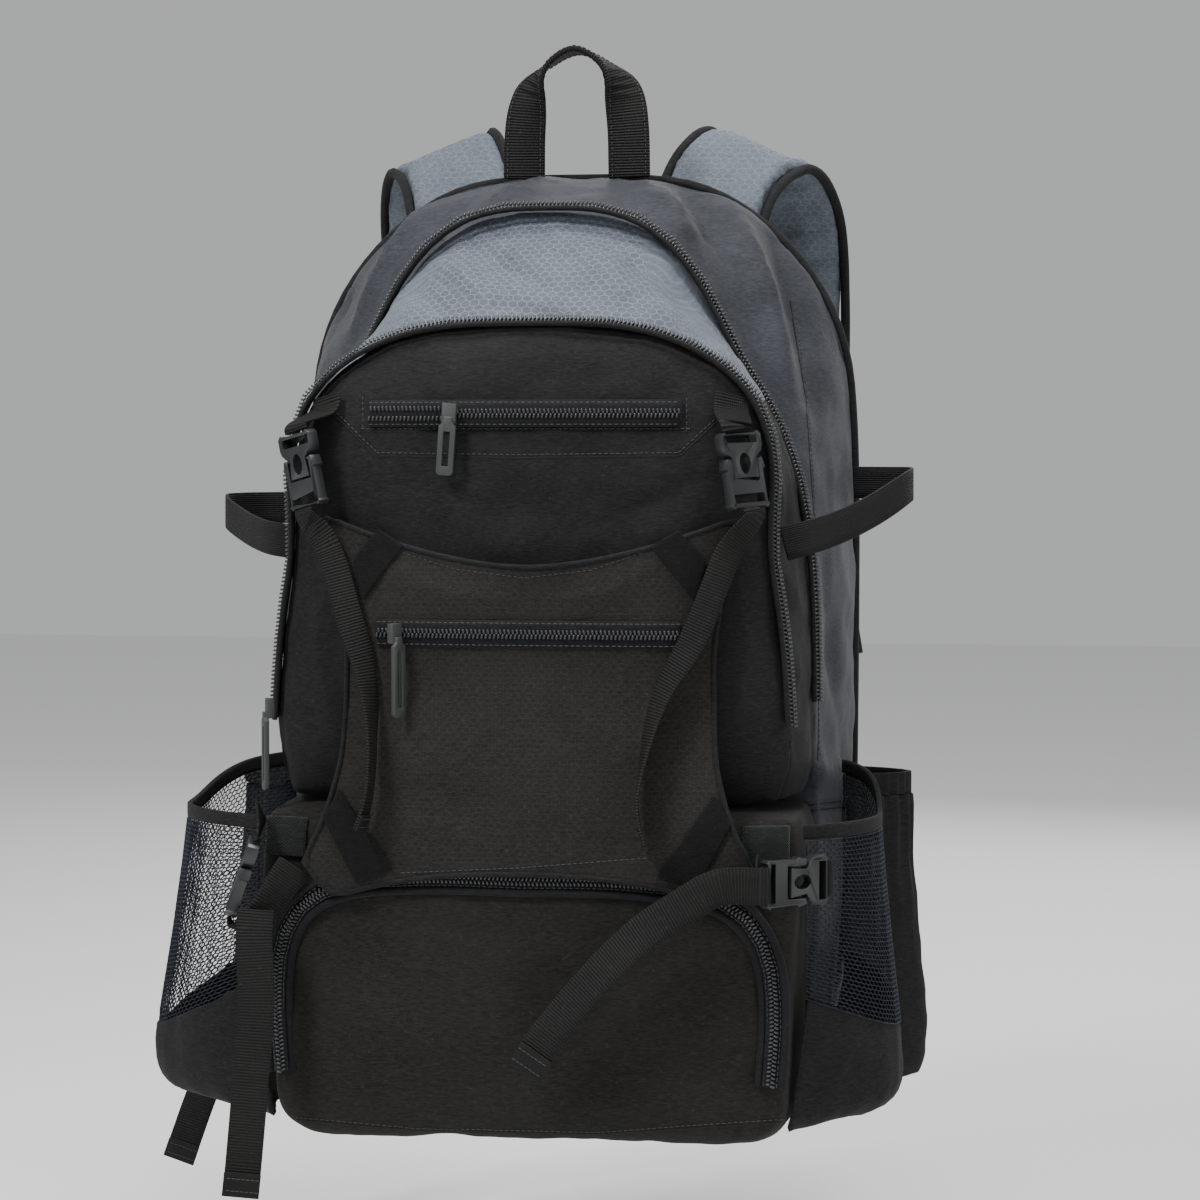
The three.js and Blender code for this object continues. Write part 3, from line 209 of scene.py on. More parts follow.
def tube(name, path, radius, closed=False):
    """A round cord of piping or binding along a path."""
    line = bpy.data.curves.new(name, "CURVE")
    line.dimensions = "3D"
    line.bevel_depth = radius
    line.bevel_resolution = 2
    line.use_fill_caps = True
    run = line.splines.new("NURBS")
    run.points.add(len(path) - 1)
    run.points.foreach_set("co", np.column_stack([path, np.ones(len(path))]).ravel())
    run.order_u = 3
    run.use_endpoint_u = not closed
    run.use_cyclic_u = closed
    run.resolution_u = 3
    cord = in_scene(name + "_line", line)
    mesh = evaluated(cord)
    bpy.data.objects.remove(cord)
    mesh.shade_smooth()
    mesh.name = name
    return in_scene(name, mesh)


PAD_FRAMES = 20
PAD_PRESSURE = 4.0


def puffed(piece, voxel, swell):
    """Blows a foam pad up inside its cloth cover with Cloth, and caps how far each point moves."""
    remesh = piece.modifiers.new("weave_grid", "REMESH")
    remesh.mode = "VOXEL"
    remesh.voxel_size = voxel
    settled(piece)
    before = corners(piece.data)
    cloth = piece.modifiers.new("cover", "CLOTH")
    cloth.settings.use_pressure = True
    cloth.settings.uniform_pressure_force = PAD_PRESSURE
    cloth.settings.effector_weights.gravity = 0
    cloth.settings.quality = 4
    cloth.point_cache.frame_start = 1
    cloth.point_cache.frame_end = PAD_FRAMES
    for number in range(1, PAD_FRAMES + 1):
        scene.frame_set(number)
    settled(piece)
    scene.frame_set(1)
    shift = corners(piece.data) - before
    far = np.linalg.norm(shift, axis=1, keepdims=True)
    move_to(piece, before + shift * np.minimum(1, swell / np.maximum(far, swell * 1e-3)))
    return piece


def node(tree, kind, plugs=(), **settings):
    """Adds a shader node with its settings, and fills or links its input sockets."""
    made = tree.nodes.new("ShaderNode" + kind)
    for key, value in settings.items():
        setattr(made, key, value)
    for socket, value in dict(plugs).items():
        if isinstance(value, bpy.types.NodeSocket):
            tree.links.new(value, made.inputs[socket])
        else:
            made.inputs[socket].default_value = value
    return made


def maths(tree, operation, first, second=0.0, third=0.0):
    return node(tree, "Math", {0: first, 1: second, 2: third}, operation=operation).outputs[0]


def mixed(tree, amount, first, second):
    return node(tree, "MixRGB", {0: amount, 1: first, 2: second}).outputs[0]


def mask_from(tree, value, low, high):
    """A mask that rises from 0 to 1 while a value rises from low to high."""
    return node(tree, "MapRange", {0: value, 1: low, 2: high, 3: 0.0, 4: 1.0}).outputs[0]


def group(name, sockets_in, sockets_out):
    """An empty node group, with the sockets that its nodes read and the ones that they fill."""
    tree = bpy.data.node_groups.new(name, "ShaderNodeTree")
    for label, kind in sockets_in.items():
        tree.interface.new_socket(label, in_out="INPUT", socket_type="NodeSocket" + kind)
    for label, kind in sockets_out.items():
        tree.interface.new_socket(label, in_out="OUTPUT", socket_type="NodeSocket" + kind)
    return tree, tree.nodes.new("NodeGroupInput").outputs, tree.nodes.new("NodeGroupOutput").inputs


def placed(tree, made, plugs):
    """Places a node group in a material, and gives its outputs."""
    return node(tree, "Group", plugs, node_tree=made).outputs


# Plain weave: crossing threads as a height, and slubs as a mask of paler and darker threads.
SLUB_SCALE = (260, 260, 1100)
weave, weave_in, weave_out = group(
    "plain_weave", {"Place": "Vector", "Pitch": "Float"}, {"Height": "Float", "Slub": "Float"}
)
axes = node(weave, "SeparateXYZ", {0: weave_in["Place"]}).outputs
thread_turn = maths(weave, "DIVIDE", 2 * math.pi, weave_in["Pitch"])
weft = maths(weave, "MULTIPLY", maths(weave, "MULTIPLY_ADD", axes[1], 0.8, axes[0]), thread_turn)
warp = maths(weave, "MULTIPLY", maths(weave, "MULTIPLY_ADD", axes[1], 0.3, axes[2]), thread_turn)
crossing = maths(weave, "MULTIPLY", maths(weave, "SINE", weft), maths(weave, "SINE", warp))
slub_place = node(weave, "VectorMath", {0: weave_in["Place"], 1: SLUB_SCALE}, operation="MULTIPLY")
slub = node(weave, "TexNoise", {"Vector": slub_place.outputs[0], "Scale": 1.0, "Detail": 2})
weave.links.new(crossing, weave_out["Height"])
weave.links.new(slub.outputs["Fac"], weave_out["Slub"])

# Wear: broad fading and small pale specks of dust, as masks.
FADING_SCALE = 11
SPECK_SCALE = 420
wear, wear_in, wear_out = group("wear", {"Place": "Vector"}, {"Fading": "Float", "Dust": "Float"})
fading = node(wear, "TexNoise", {
    "Vector": wear_in["Place"], "Scale": FADING_SCALE, "Detail": 5, "Roughness": 0.6,
})
specks = node(wear, "TexNoise", {"Vector": wear_in["Place"], "Scale": SPECK_SCALE, "Detail": 3})
wear.links.new(fading.outputs["Fac"], wear_out["Fading"])
wear.links.new(mask_from(wear, specks.outputs["Fac"], 0.62, 0.8), wear_out["Dust"])

# Ripstop: the pale outlines of flat-sided hexagons, as a mask. Two grids of cells, half a step
# apart, cover the cloth, and each point takes the nearer centre.
HEX_RISE = math.sqrt(3) / 2
hexagons, hex_in, hex_out = group(
    "hexagon_ripstop", {"Place": "Vector", "Cell": "Float"}, {"Line": "Float"}
)
hex_axes = node(hexagons, "SeparateXYZ", {0: hex_in["Place"]}).outputs
hex_place = node(hexagons, "CombineXYZ", {
    0: maths(hexagons, "DIVIDE", hex_axes[0], hex_in["Cell"]),
    1: maths(hexagons, "DIVIDE", hex_axes[2], maths(hexagons, "MULTIPLY", hex_in["Cell"], 0.75)),
}).outputs[0]
hex_reaches = []
for hex_start in [(0, 0, 0), (0.5, HEX_RISE, 0)]:
    moved = node(hexagons, "VectorMath", {0: hex_place, 1: hex_start}, operation="SUBTRACT")
    wrapped = node(hexagons, "VectorMath", {
        0: moved.outputs[0], 1: (0.5, HEX_RISE, 1), 2: (-0.5, -HEX_RISE, -1),
    }, operation="WRAP")
    spread = node(hexagons, "VectorMath", {0: wrapped.outputs[0]}, operation="ABSOLUTE")
    parts = node(hexagons, "SeparateXYZ", {0: spread.outputs[0]}).outputs
    level = maths(hexagons, "MULTIPLY", parts[0], 0.5)
    slanted = maths(hexagons, "MULTIPLY_ADD", parts[1], HEX_RISE, level)
    hex_reaches.append(maths(hexagons, "MAXIMUM", parts[0], slanted))
hex_nearest = maths(hexagons, "MINIMUM", *hex_reaches)
hexagons.links.new(mask_from(hexagons, hex_nearest, 0.42, 0.48), hex_out["Line"])

CLOTH_SHINE = 0.16
SLUB_IN_TONE = 0.6
FADING_IN_TONE = 0.4
TONE_RANGE = (0.35, 0.65)
SLUB_HEIGHT = 0.9
THREAD_HEIGHT = 0.35
RIPSTOP_HEIGHT = 0.8
RIPSTOP_WORN = 0.25
WEAVE_DEPTH = 0.5 * MM
DUST_ON_CLOTH = 0.35
SHEEN_SPREAD = 0.45


def finished(tree, shader, colour, height, relief, depth, roughness):
    """Fills the sockets of a material: its colour, its relief and its roughness."""
    bump = node(tree, "Bump", {"Height": height, "Strength": relief, "Distance": depth})
    tree.links.new(colour, shader.inputs["Base Color"])
    tree.links.new(bump.outputs[0], shader.inputs["Normal"])
    shader.inputs["Roughness"].default_value = roughness


def fabric(name, dark, light, roughness=0.85, sheen=0.03, pitch=0.9 * MM, relief=0.35,
           hexes=0.0, cell=5.4 * MM, laid=None):
    """Woven cloth: two tones mixed by slubs and fading, threads in relief, and ripstop lines."""
    material, tree, shader = new_material(name)
    place = node(tree, "TexCoord").outputs["Object"]
    threads = placed(tree, weave, {"Place": place, "Pitch": pitch})
    worn = placed(tree, wear, {"Place": place})
    faded = maths(tree, "MULTIPLY", worn["Fading"], FADING_IN_TONE)
    slubbed = maths(tree, "MULTIPLY_ADD", threads["Slub"], SLUB_IN_TONE, faded)
    colour = mixed(tree, mask_from(tree, slubbed, *TONE_RANGE), (*dark, 1), (*light, 1))
    pale = (*[min(1, 0.02 + 1.7 * value) for value in light], 1)
    woven = maths(tree, "MULTIPLY", threads["Height"], THREAD_HEIGHT)
    height = maths(tree, "MULTIPLY_ADD", threads["Slub"], SLUB_HEIGHT, woven)
    if hexes:
        if laid:
            place = node(tree, "Attribute", attribute_name=laid).outputs["Vector"]
        lines = placed(tree, hexagons, {"Place": place, "Cell": cell})["Line"]
        kept = maths(tree, "MULTIPLY_ADD", worn["Fading"], hexes, RIPSTOP_WORN * hexes)
        colour = mixed(tree, maths(tree, "MULTIPLY", lines, kept), colour, pale)
        height = maths(tree, "MULTIPLY_ADD", lines, RIPSTOP_HEIGHT, height)
    colour = mixed(tree, maths(tree, "MULTIPLY", worn["Dust"], DUST_ON_CLOTH), colour, pale)
    finished(tree, shader, colour, height, relief, WEAVE_DEPTH, roughness)
    shader.inputs["Specular IOR Level"].default_value = CLOTH_SHINE
    shader.inputs["Sheen Weight"].default_value = sheen
    shader.inputs["Sheen Roughness"].default_value = SHEEN_SPREAD
    return material


BLACK_DARK = (0.0055, 0.0055, 0.006)
BLACK_LIGHT = (0.016, 0.016, 0.017)
BACK_VOXEL = 5 * MM
BACK_SWELL = 5 * MM
CHANNELS = [
    {"upright": True, "place": 0, "half": 9 * MM},
    {"upright": False, "place": -220 * MM, "half": 7 * MM},
    {"upright": False, "place": -400 * MM, "half": 7 * MM},
]
CHANNEL_DEPTH = 4.5 * MM
BINDING_RADIUS = 3.2 * MM

black_cloth = fabric("black_polyester", BLACK_DARK, BLACK_LIGHT)
air_mesh = fabric(
    "black_air_mesh", (0.006, 0.006, 0.007), (0.02, 0.02, 0.022), pitch=2.6 * MM, relief=1.0
)
back_copy = merged("back_panel")
back_rows = np.array([corner.co[:] for corner in back_copy.verts])
back_panel = puffed(piece_from("back_panel_pads", back_copy), BACK_VOXEL, BACK_SWELL)
back_places = corners(back_panel.data)
back_rear = back_rows[:, 1].max()
back_face = back_rows[:, 1].min()
for channel in CHANNELS:
    away = back_places[:, 0 if channel["upright"] else 2] - channel["place"]
    sunk = CHANNEL_DEPTH * np.exp(-((away / channel["half"]) ** 2))
    rear_side = np.clip((back_places[:, 1] - back_face) / (back_rear - back_face), 0, 1)
    back_places[:, 1] -= sunk * rear_side
back_places[:, 1] = np.maximum(back_places[:, 1], back_face)
move_to(back_panel, back_places)
dress(back_panel, "padding_black", air_mesh, "back_panel")


def edge_loop(places, depth, reach=0.1 * MM):
    """The outermost corners at one depth, in order round the bag."""
    loop = places[np.abs(places[:, 1] - depth) < reach]
    middle = (loop.max(axis=0) + loop.min(axis=0)) / 2
    return loop[np.argsort(np.arctan2(loop[:, 2] - middle[2], loop[:, 0] - middle[0]))]


back_rim = edge_loop(back_rows, (back_rear + back_face) / 2)
dress(tube("back_binding", back_rim, BINDING_RADIUS, closed=True), "padding_black", black_cloth)

# The main compartment: grey polyester over the sides and top, drawn into folds beside the corners.
# It is sewn to the back panel behind and to the main zip in front.
CREASE_ANGLE = math.radians(50)


def soft_shell(name, node_name, levels, crease=0.6):
    """A CAD shell rounded by subdivision, with its sharper edges held by a crease."""
    bm = merged(node_name)
    layer = bm.edges.layers.float.new("crease_edge")
    for edge in bm.edges:
        if edge.is_manifold and edge.calc_face_angle() > CREASE_ANGLE:
            edge[layer] = crease
    return smoothed(piece_from(name, bm), levels)


def surface_of(piece):
    mesh = piece.data
    return BVHTree.FromPolygons(
        [corner.co for corner in mesh.vertices], [face.vertices for face in mesh.polygons]
    )


def seen_on(surface, across_px, down_px):
    """The place on a surface that shows at a point of the photograph, and the way it faces."""
    half = PHOTO_SIDE_PX / 2
    ray = Vector(((across_px - half) / PHOTO_FOCUS_PX, (half - down_px) / PHOTO_FOCUS_PX, -1))
    ray = (camera.rotation_quaternion @ ray).normalized()
    place, facing, _, _ = surface.ray_cast(camera.location, ray)
    if place is None:
        return None
    return place, -facing if facing.dot(ray) > 0 else facing


TRACE_STEP_PX = 5


def traced(surface, line):
    """A line of the photograph laid on a surface: its places and the ways they face."""
    found = []
    for start, end in zip(line, line[1:]):
        steps = max(2, int(math.dist(start, end) / TRACE_STEP_PX))
        for step in range(steps):
            share = step / steps
            spot = [a + (b - a) * share for a, b in zip(start, end)]
            found.append(seen_on(surface, *spot))
    found.append(seen_on(surface, *line[-1]))
    found = [spot for spot in found if spot]
    return np.array([spot[0] for spot in found]), np.array([spot[1] for spot in found])


CREST_SHARPNESS = 1.35
FOLD_TAPER = 0.6


def pressed(piece, folds):
    """Raises or sinks folds along lines of the photograph, both walls of the cloth together."""
    surface = surface_of(piece)
    places = corners(piece.data)
    moves = np.zeros_like(places)
    for fold in folds:
        spots, ways = traced(surface, fold["line"])
        if len(spots) < 2:
            continue
        share = (np.arange(len(spots)) + 0.5) / len(spots)
        rise = fold["rise"] * np.sin(np.pi * share) ** FOLD_TAPER
        apart = np.linalg.norm(places[:, None, :] - spots[None], axis=2)
        nearest = apart.argmin(axis=1)
        away = apart[np.arange(len(places)), nearest] / fold["width"]
        moves += ways[nearest] * (rise[nearest] * np.exp(-(away**CREST_SHARPNESS)))[:, None]
    move_to(piece, places + moves)
    return piece


CRUMPLE_ROUGHNESS = 0.9
CRUMPLE_STEP = 2.1
CRUMPLE_LAYERS = 3


def crumpled(piece, height, grain, start):
    """Lets a cloth lie in shallow crumples, both its walls moving together."""
    places = corners(piece.data)
    ways = corners(piece.data, "normal")
    side = np.sign(((places - places.mean(axis=0)) * ways).sum(axis=1))
    origin = Vector((start, 0, 0))
    spots = [Vector(place) / grain + origin for place in places]
    lift = np.array([
        noise.fractal(spot, CRUMPLE_ROUGHNESS, CRUMPLE_STEP, CRUMPLE_LAYERS) for spot in spots
    ])
    move_to(piece, places + ways * (side * lift * height)[:, None])
    return piece


GUSSET_FOLDS = [
    {"line": [(438, 190), (400, 245), (352, 338)], "rise": 9.5 * MM, "width": 11 * MM},
    {"line": [(470, 196), (425, 245), (385, 300)], "rise": -7.6 * MM, "width": 11 * MM},
    {"line": [(552, 178), (515, 190), (478, 208)], "rise": 4.8 * MM, "width": 9.7 * MM},
    {"line": [(640, 174), (668, 208), (690, 242)], "rise": 9.5 * MM, "width": 11 * MM},
    {"line": [(684, 184), (706, 212), (722, 250)], "rise": -9.5 * MM, "width": 12.3 * MM},
    {
        "line": [(724, 192), (750, 255), (774, 330), (792, 400)],
        "rise": 11.3 * MM, "width": 12.3 * MM,
    },
    {"line": [(770, 232), (800, 320), (818, 420)], "rise": -7.6 * MM, "width": 12.3 * MM},
    {"line": [(400, 205), (360, 262), (334, 330)], "rise": -5.7 * MM, "width": 11 * MM},
    {"line": [(796, 752), (822, 772), (846, 786)], "rise": 5.7 * MM, "width": 9.7 * MM},
    {"line": [(822, 560), (832, 640), (838, 720)], "rise": -4.8 * MM, "width": 12.3 * MM},
]
GREY_DARK = (0.017, 0.0185, 0.0225)
GREY_LIGHT = (0.04, 0.044, 0.054)
grey_cloth = fabric("grey_polyester", GREY_DARK, GREY_LIGHT, roughness=0.6, sheen=0.08)
main_shell = soft_shell("main_compartment", "main_shell", levels=3)
pressed(main_shell, GUSSET_FOLDS)
crumpled(main_shell, height=2.6 * MM, grain=48 * MM, start=3.1)
dress(main_shell, "cloth_grey", grey_cloth, "main_shell")

# The middle compartment: slate ripstop with small hexagons, stretched between the two long zips.
# It is sewn to both zip tapes and has crumpled between them. Its sides, below the place where the
# zips draw together, are black polyester.
MIDDLE_FOLDS = [
    {"line": [(465, 240), (508, 268), (548, 290)], "rise": -6.4 * MM, "width": 5.6 * MM},
    {"line": [(440, 262), (470, 284), (500, 304)], "rise": 4.9 * MM, "width": 6.4 * MM},
    {"line": [(486, 304), (535, 312), (584, 322)], "rise": -5.5 * MM, "width": 6.4 * MM},
    {"line": [(560, 232), (600, 262), (632, 300)], "rise": 4.9 * MM, "width": 8 * MM},
    {"line": [(622, 250), (660, 280), (700, 318)], "rise": -4.9 * MM, "width": 6.4 * MM},
    {"line": [(390, 280), (420, 292), (450, 318)], "rise": -3.9 * MM, "width": 4.8 * MM},
]
SLATE_FLOOR = -152 * MM
SLATE_DARK = (0.066, 0.079, 0.1)
SLATE_LIGHT = (0.118, 0.135, 0.162)
slate_cloth = fabric(
    "slate_ripstop", SLATE_DARK, SLATE_LIGHT, roughness=0.5, sheen=0.06, hexes=0.9,
    laid="cloth_place",
)
SIDE_START = 0.35
SIDE_SPAN = 0.5
SLOPE_RISE = 0.73
SLOPE_RUN = 0.68


def lay_out(piece):
    """Keeps where each corner lies on the unfolded cloth: across it, and up its sloping front."""
    places = corners(piece.data)
    side = np.abs(corners(piece.data, "normal")[:, 0])
    turned = np.clip((side - SIDE_START) / SIDE_SPAN, 0, 1)
    sideways, depth, height = places.T
    across = sideways + np.sign(sideways) * turned * (depth - depth.min())
    upward = turned * height + (1 - turned) * (SLOPE_RISE * height + SLOPE_RUN * depth)
    spread_out = np.column_stack([across, np.zeros(len(across)), upward])
    laid = piece.data.attributes.new("cloth_place", "FLOAT_VECTOR", "POINT")
    laid.data.foreach_set("vector", spread_out.ravel())
    return piece


middle_shell = lay_out(soft_shell("middle_compartment", "middle_shell", levels=3))
pressed(middle_shell, MIDDLE_FOLDS)
crumpled(middle_shell, height=2.4 * MM, grain=34 * MM, start=7.7)
dress(middle_shell, "cloth_slate", slate_cloth, "middle_shell")
middle_shell.data.materials.append(black_cloth)
two_tone = bmesh.new()
two_tone.from_mesh(middle_shell.data)
bmesh.ops.bisect_plane(
    two_tone, geom=[*two_tone.verts, *two_tone.edges, *two_tone.faces], dist=0.01 * MM,
    plane_co=(0, 0, SLATE_FLOOR), plane_no=(0, 0, 1),
)
for face in two_tone.faces:
    face.material_index = int(face.calc_center_median().z < SLATE_FLOOR)
two_tone.to_mesh(middle_shell.data)
two_tone.free()

# The two long zips between the compartments: a nylon coil of two rows on a woven tape, which stands
# round the edge of each opening. A round piping is sewn in just inside each of them.
CAP_FLATNESS = 0.9999
ZIP_CORNERS = 5


def rings_of(node_name):
    """The rings of corners along a strap-like CAD piece, counted from one end cap to the other."""
    bm = merged(node_name, quads=False)
    bm.verts.index_update()
    caps = []
    for corner in bm.verts:
        first = corner.link_faces[0].normal
        if all(first.dot(face.normal) > CAP_FLATNESS for face in corner.link_faces):
            caps.append(corner)
    rings = []
    seen = {caps[0]}
    layer = [caps[0]]
    while layer:
        onward = {edge.other_vert(corner) for corner in layer for edge in corner.link_edges}
        layer = sorted(onward - seen, key=lambda corner: corner.index)
        seen.update(layer)
        if len(layer) > 1:
            rings.append(np.array([corner.co[:] for corner in layer]))
    bm.free()
    return rings


def zip_line(node_name):
    """The ridge of a zip, the way that it faces, and the way across it, at each of its rings."""
    rings = rings_of(node_name)
    centres = np.array([ring.mean(axis=0) for ring in rings])
    ridges = np.array([
        ring[np.linalg.norm(ring - centre, axis=1).argmin()] for ring, centre in zip(rings, centres)
    ])
    others = (ZIP_CORNERS * centres - ridges) / (ZIP_CORNERS - 1)
    facing = ridges - others
    facing /= np.linalg.norm(facing, axis=1, keepdims=True)
    run = np.gradient(ridges, axis=0)
    across = np.cross(facing, run)
    across /= np.linalg.norm(across, axis=1, keepdims=True)
    return ridges, facing, across


def frames_along(path, facing, pitch, aside=0, lift=0, start=0.5, lean=0):
    """Frames at an even pitch along a path: X along it, Y across it, Z off the surface."""
    length = lengths_along(path)
    stops = np.arange(start * pitch, length[-1], pitch)
    at = np.column_stack([np.interp(stops, length, path[:, axis]) for axis in range(3)])
    off = np.column_stack([np.interp(stops, length, facing[:, axis]) for axis in range(3)])
    along = np.gradient(at, axis=0)
    along /= np.linalg.norm(along, axis=1, keepdims=True)
    across = np.cross(off, along)
    across /= np.linalg.norm(across, axis=1, keepdims=True)
    off = np.cross(along, across)
    leant = along + lean * across
    leant /= np.linalg.norm(leant, axis=1, keepdims=True)
    places = np.zeros((len(at), 4, 4))
    places[:, :3, 0] = leant
    places[:, :3, 1] = np.cross(off, leant)
    places[:, :3, 2] = off
    places[:, :3, 3] = at + aside * across + lift * off
    places[:, 3, 3] = 1
    return places


def repeated(name, shape, frames):
    """One mesh with a copy of a small shape at each frame."""
    bm = bmesh.new()
    for _ in frames:
        bm.from_mesh(shape)
    piece = piece_from(name, bm)
    every = np.einsum("kij,nj->kni", frames[:, :3, :3], corners(shape)) + frames[:, None, :3, 3]
    move_to(piece, every.reshape(-1, 3))
    return piece


def small_block(name, size, rounding):
    """A small box with chamfered edges, to repeat as a tooth or a stitch."""
    bm = bmesh.new()
    bmesh.ops.create_cube(bm, size=1)
    bmesh.ops.scale(bm, verts=bm.verts, vec=size)
    bmesh.ops.bevel(
        bm, geom=bm.edges, affect="EDGES", offset=rounding, segments=1, profile=0.5, material=-1
    )
    mesh = bpy.data.meshes.new(name)
    bm.to_mesh(mesh)
    bm.free()
    return mesh


TOOTH_PITCH = 2.3 * MM
TOOTH_ASIDE = 1.25 * MM
TOOTH_LEAN = 0.25
EDGE_COIL_LEAN = 1.4
EDGE_COIL_FRONT = 4.6 * MM
EDGE_COIL_DROP = 1 * MM
PIPING_RADIUS = 1.5 * MM
PIPING_FRONT = 8.4 * MM
PIPING_DROP = 3.4 * MM
tooth = small_block("coil_tooth", size=(1.25 * MM, 2.7 * MM, 1.5 * MM), rounding=0.4 * MM)
coil_nylon = plain_material("coil_nylon", (0.03, 0.031, 0.033), roughness=0.3)
zip_tape = fabric("zip_tape", (0.006, 0.006, 0.007), (0.013, 0.013, 0.015), pitch=0.7 * MM)


def coil(name, path, facing, apart=0.0):
    """Two rows of nylon teeth that mesh along a path, or stand apart where the zip is open."""
    rows = [
        frames_along(
            path, facing, TOOTH_PITCH, aside=side * (TOOTH_ASIDE + apart), start=start,
            lean=side * TOOTH_LEAN,
        )
        for side, start in [(-1, 0.25), (1, 0.75)]
    ]
    return dress(repeated(name, tooth, np.concatenate(rows)), "zip_tape", coil_nylon)


def tape(node_name):
    """The woven tape under the teeth of a zip."""
    woven = soft_shell(node_name + "_tape", node_name, levels=1, crease=0.8)
    return dress(woven, "zip_tape", zip_tape, node_name)


for zip_name in ["main_zip", "pocket_zip"]:
    tape(zip_name)
    ridge, facing, across = zip_line(zip_name)
    to_front = across * -np.sign(across[:, 1:2])
    teeth_path = ridge + EDGE_COIL_FRONT * to_front - EDGE_COIL_DROP * facing
    coil(zip_name + "_coil", teeth_path, facing + EDGE_COIL_LEAN * to_front)
    piping = ridge + PIPING_FRONT * to_front - PIPING_DROP * facing
    dress(tube(zip_name + "_piping", piping, PIPING_RADIUS), "zip_tape", black_cloth)

# The front pocket: charcoal polyester, a little domed, with a zipped chest pocket under a frame of
# stitches. A yoke seam runs below it, and slants up to the corners where the webbing is sewn in.
CHEST_SLIDER = 0.27
CHEST_APART = 1.5 * MM
CHEST_STOPS = 60
CHEST_FRAME = 6 * MM
STITCH_PITCH = 3.2 * MM
STITCH_LIFT = 0.15 * MM
SHADOW_STRIP_PITCH = 3.4 * MM
stitch = small_block("stitch", size=(2.2 * MM, 0.55 * MM, 0.5 * MM), rounding=0.2 * MM)
# Short near-black strips are laid along the seams: painted shadow in the seam creases.
shadow_strip = small_block("seam_shadow_strip", size=(4 * MM, 0.9 * MM, 0.5 * MM), rounding=0.2 * MM)
thread = plain_material("sewing_thread", (0.024, 0.024, 0.026), roughness=0.6)
crease_shade = plain_material("seam_shadow", (0.003, 0.003, 0.003), roughness=0.95)


def stitches(name, lines, slot, asides=(0.0,)):
    """Rows of stitches along paths, each path a pair of its places and the ways they face."""
    every = [
        frames_along(path, facing, STITCH_PITCH, aside=aside, lift=STITCH_LIFT)
        for path, facing in lines for aside in asides if len(path) > 2
    ]
    return dress(repeated(name, stitch, np.concatenate(every)), slot, thread)


def seams(name, piece, lines, slot, asides=(1.8 * MM,)):
    """Seams of a piece along lines of the photograph: a strip of painted shadow in the crease, with
    stitches beside it.
    """
    surface = surface_of(piece)
    paths = [traced(surface, line) for line in lines]
    paths = [(path, facing) for path, facing in paths if len(path) > 2]
    shadow_frames = [frames_along(path, facing, SHADOW_STRIP_PITCH) for path, facing in paths]
    dress(repeated(name + "_crease_shadows", shadow_strip, np.concatenate(shadow_frames)), slot, crease_shade)
    stitches(name + "_stitches", paths, slot, asides)


GUSSET_SEAMS = [
    [(790, 300), (806, 400), (814, 520), (818, 640), (818, 760)],
    [(800, 806), (850, 800)],
    [(800, 812), (850, 806)],
]
seams("main_compartment", main_shell, GUSSET_SEAMS, "cloth_grey", (2.2 * MM,))
POCKET_FOLDS = [
    {"line": [(330, 560), (318, 640), (330, 720)], "rise": 3 * MM, "width": 9 * MM},
    {"line": [(735, 560), (745, 640), (735, 730)], "rise": 3 * MM, "width": 9 * MM},
    {"line": [(400, 480), (480, 505), (560, 520)], "rise": -3 * MM, "width": 12 * MM},
    {"line": [(600, 520), (660, 500), (716, 470)], "rise": -2.2 * MM, "width": 9 * MM},
]
POCKET_SEAMS = [
    [(360, 396), (360, 432)], [(360, 432), (690, 432)], [(690, 432), (690, 396)],
    [(322, 403), (376, 456), (520, 458), (680, 456), (742, 399)],
]
front_pocket = soft_shell("front_pocket_cloth", "front_pocket", levels=3)
pressed(front_pocket, POCKET_FOLDS)
crumpled(front_pocket, height=2 * MM, grain=42 * MM, start=12.9)
dress(front_pocket, "cloth_black", black_cloth, "front_pocket")
seams("front_pocket", front_pocket, POCKET_SEAMS, "cloth_black")
tape("chest_zip")
ridge, facing, across = zip_line("chest_zip")
if ridge[0, 0] > ridge[-1, 0]:
    ridge, facing, across = ridge[::-1], facing[::-1], across[::-1]
stops = np.linspace(0, 1, CHEST_STOPS)
shares = lengths_along(ridge) / lengths_along(ridge)[-1]
fine = np.column_stack([np.interp(stops, shares, ridge[:, axis]) for axis in range(3)])
fine_facing = np.column_stack([np.interp(stops, shares, facing[:, axis]) for axis in range(3)])
opened = stops <= CHEST_SLIDER
coil("chest_coil_open", fine[opened], fine_facing[opened], apart=CHEST_APART)
coil("chest_coil", fine[~opened], fine_facing[~opened])
stitches("chest_frame_stitches", [(fine, fine_facing)], "zip_tape", (-CHEST_FRAME, CHEST_FRAME))

# The lower compartment: a roomy charcoal box, with a zip that climbs both sides of its face and
# crosses under the holder panel. Fuzzy loop patches are sewn on at its two top corners.
LOWER_FOLDS = [
    {"line": [(340, 1040), (420, 1075), (520, 1080)], "rise": -3.8 * MM, "width": 14 * MM},
    {"line": [(560, 960), (620, 1010), (680, 1030)], "rise": 3.8 * MM, "width": 15 * MM},
    {"line": [(420, 930), (500, 960), (580, 950)], "rise": 3 * MM, "width": 14 * MM},
    {"line": [(690, 1010), (720, 1060), (716, 1110)], "rise": -3 * MM, "width": 12 * MM},
]
LOWER_SEAMS = [
    [(276, 1118), (414, 1130), (600, 1134), (785, 1122)], [(806, 900), (806, 1000), (800, 1090)],
]
LOWER_ZIP_SEAM = 3.6 * MM
WELT_RADIUS = 2.2 * MM
WELT_ASIDE = 6.6 * MM
WELT_DROP = 1.4 * MM
warm_cloth = fabric("warm_charcoal_polyester", (0.0065, 0.0062, 0.0055), (0.0185, 0.0175, 0.0155))
lower_pocket = soft_shell("lower_pocket_cloth", "lower_pocket", levels=3)
pressed(lower_pocket, LOWER_FOLDS)
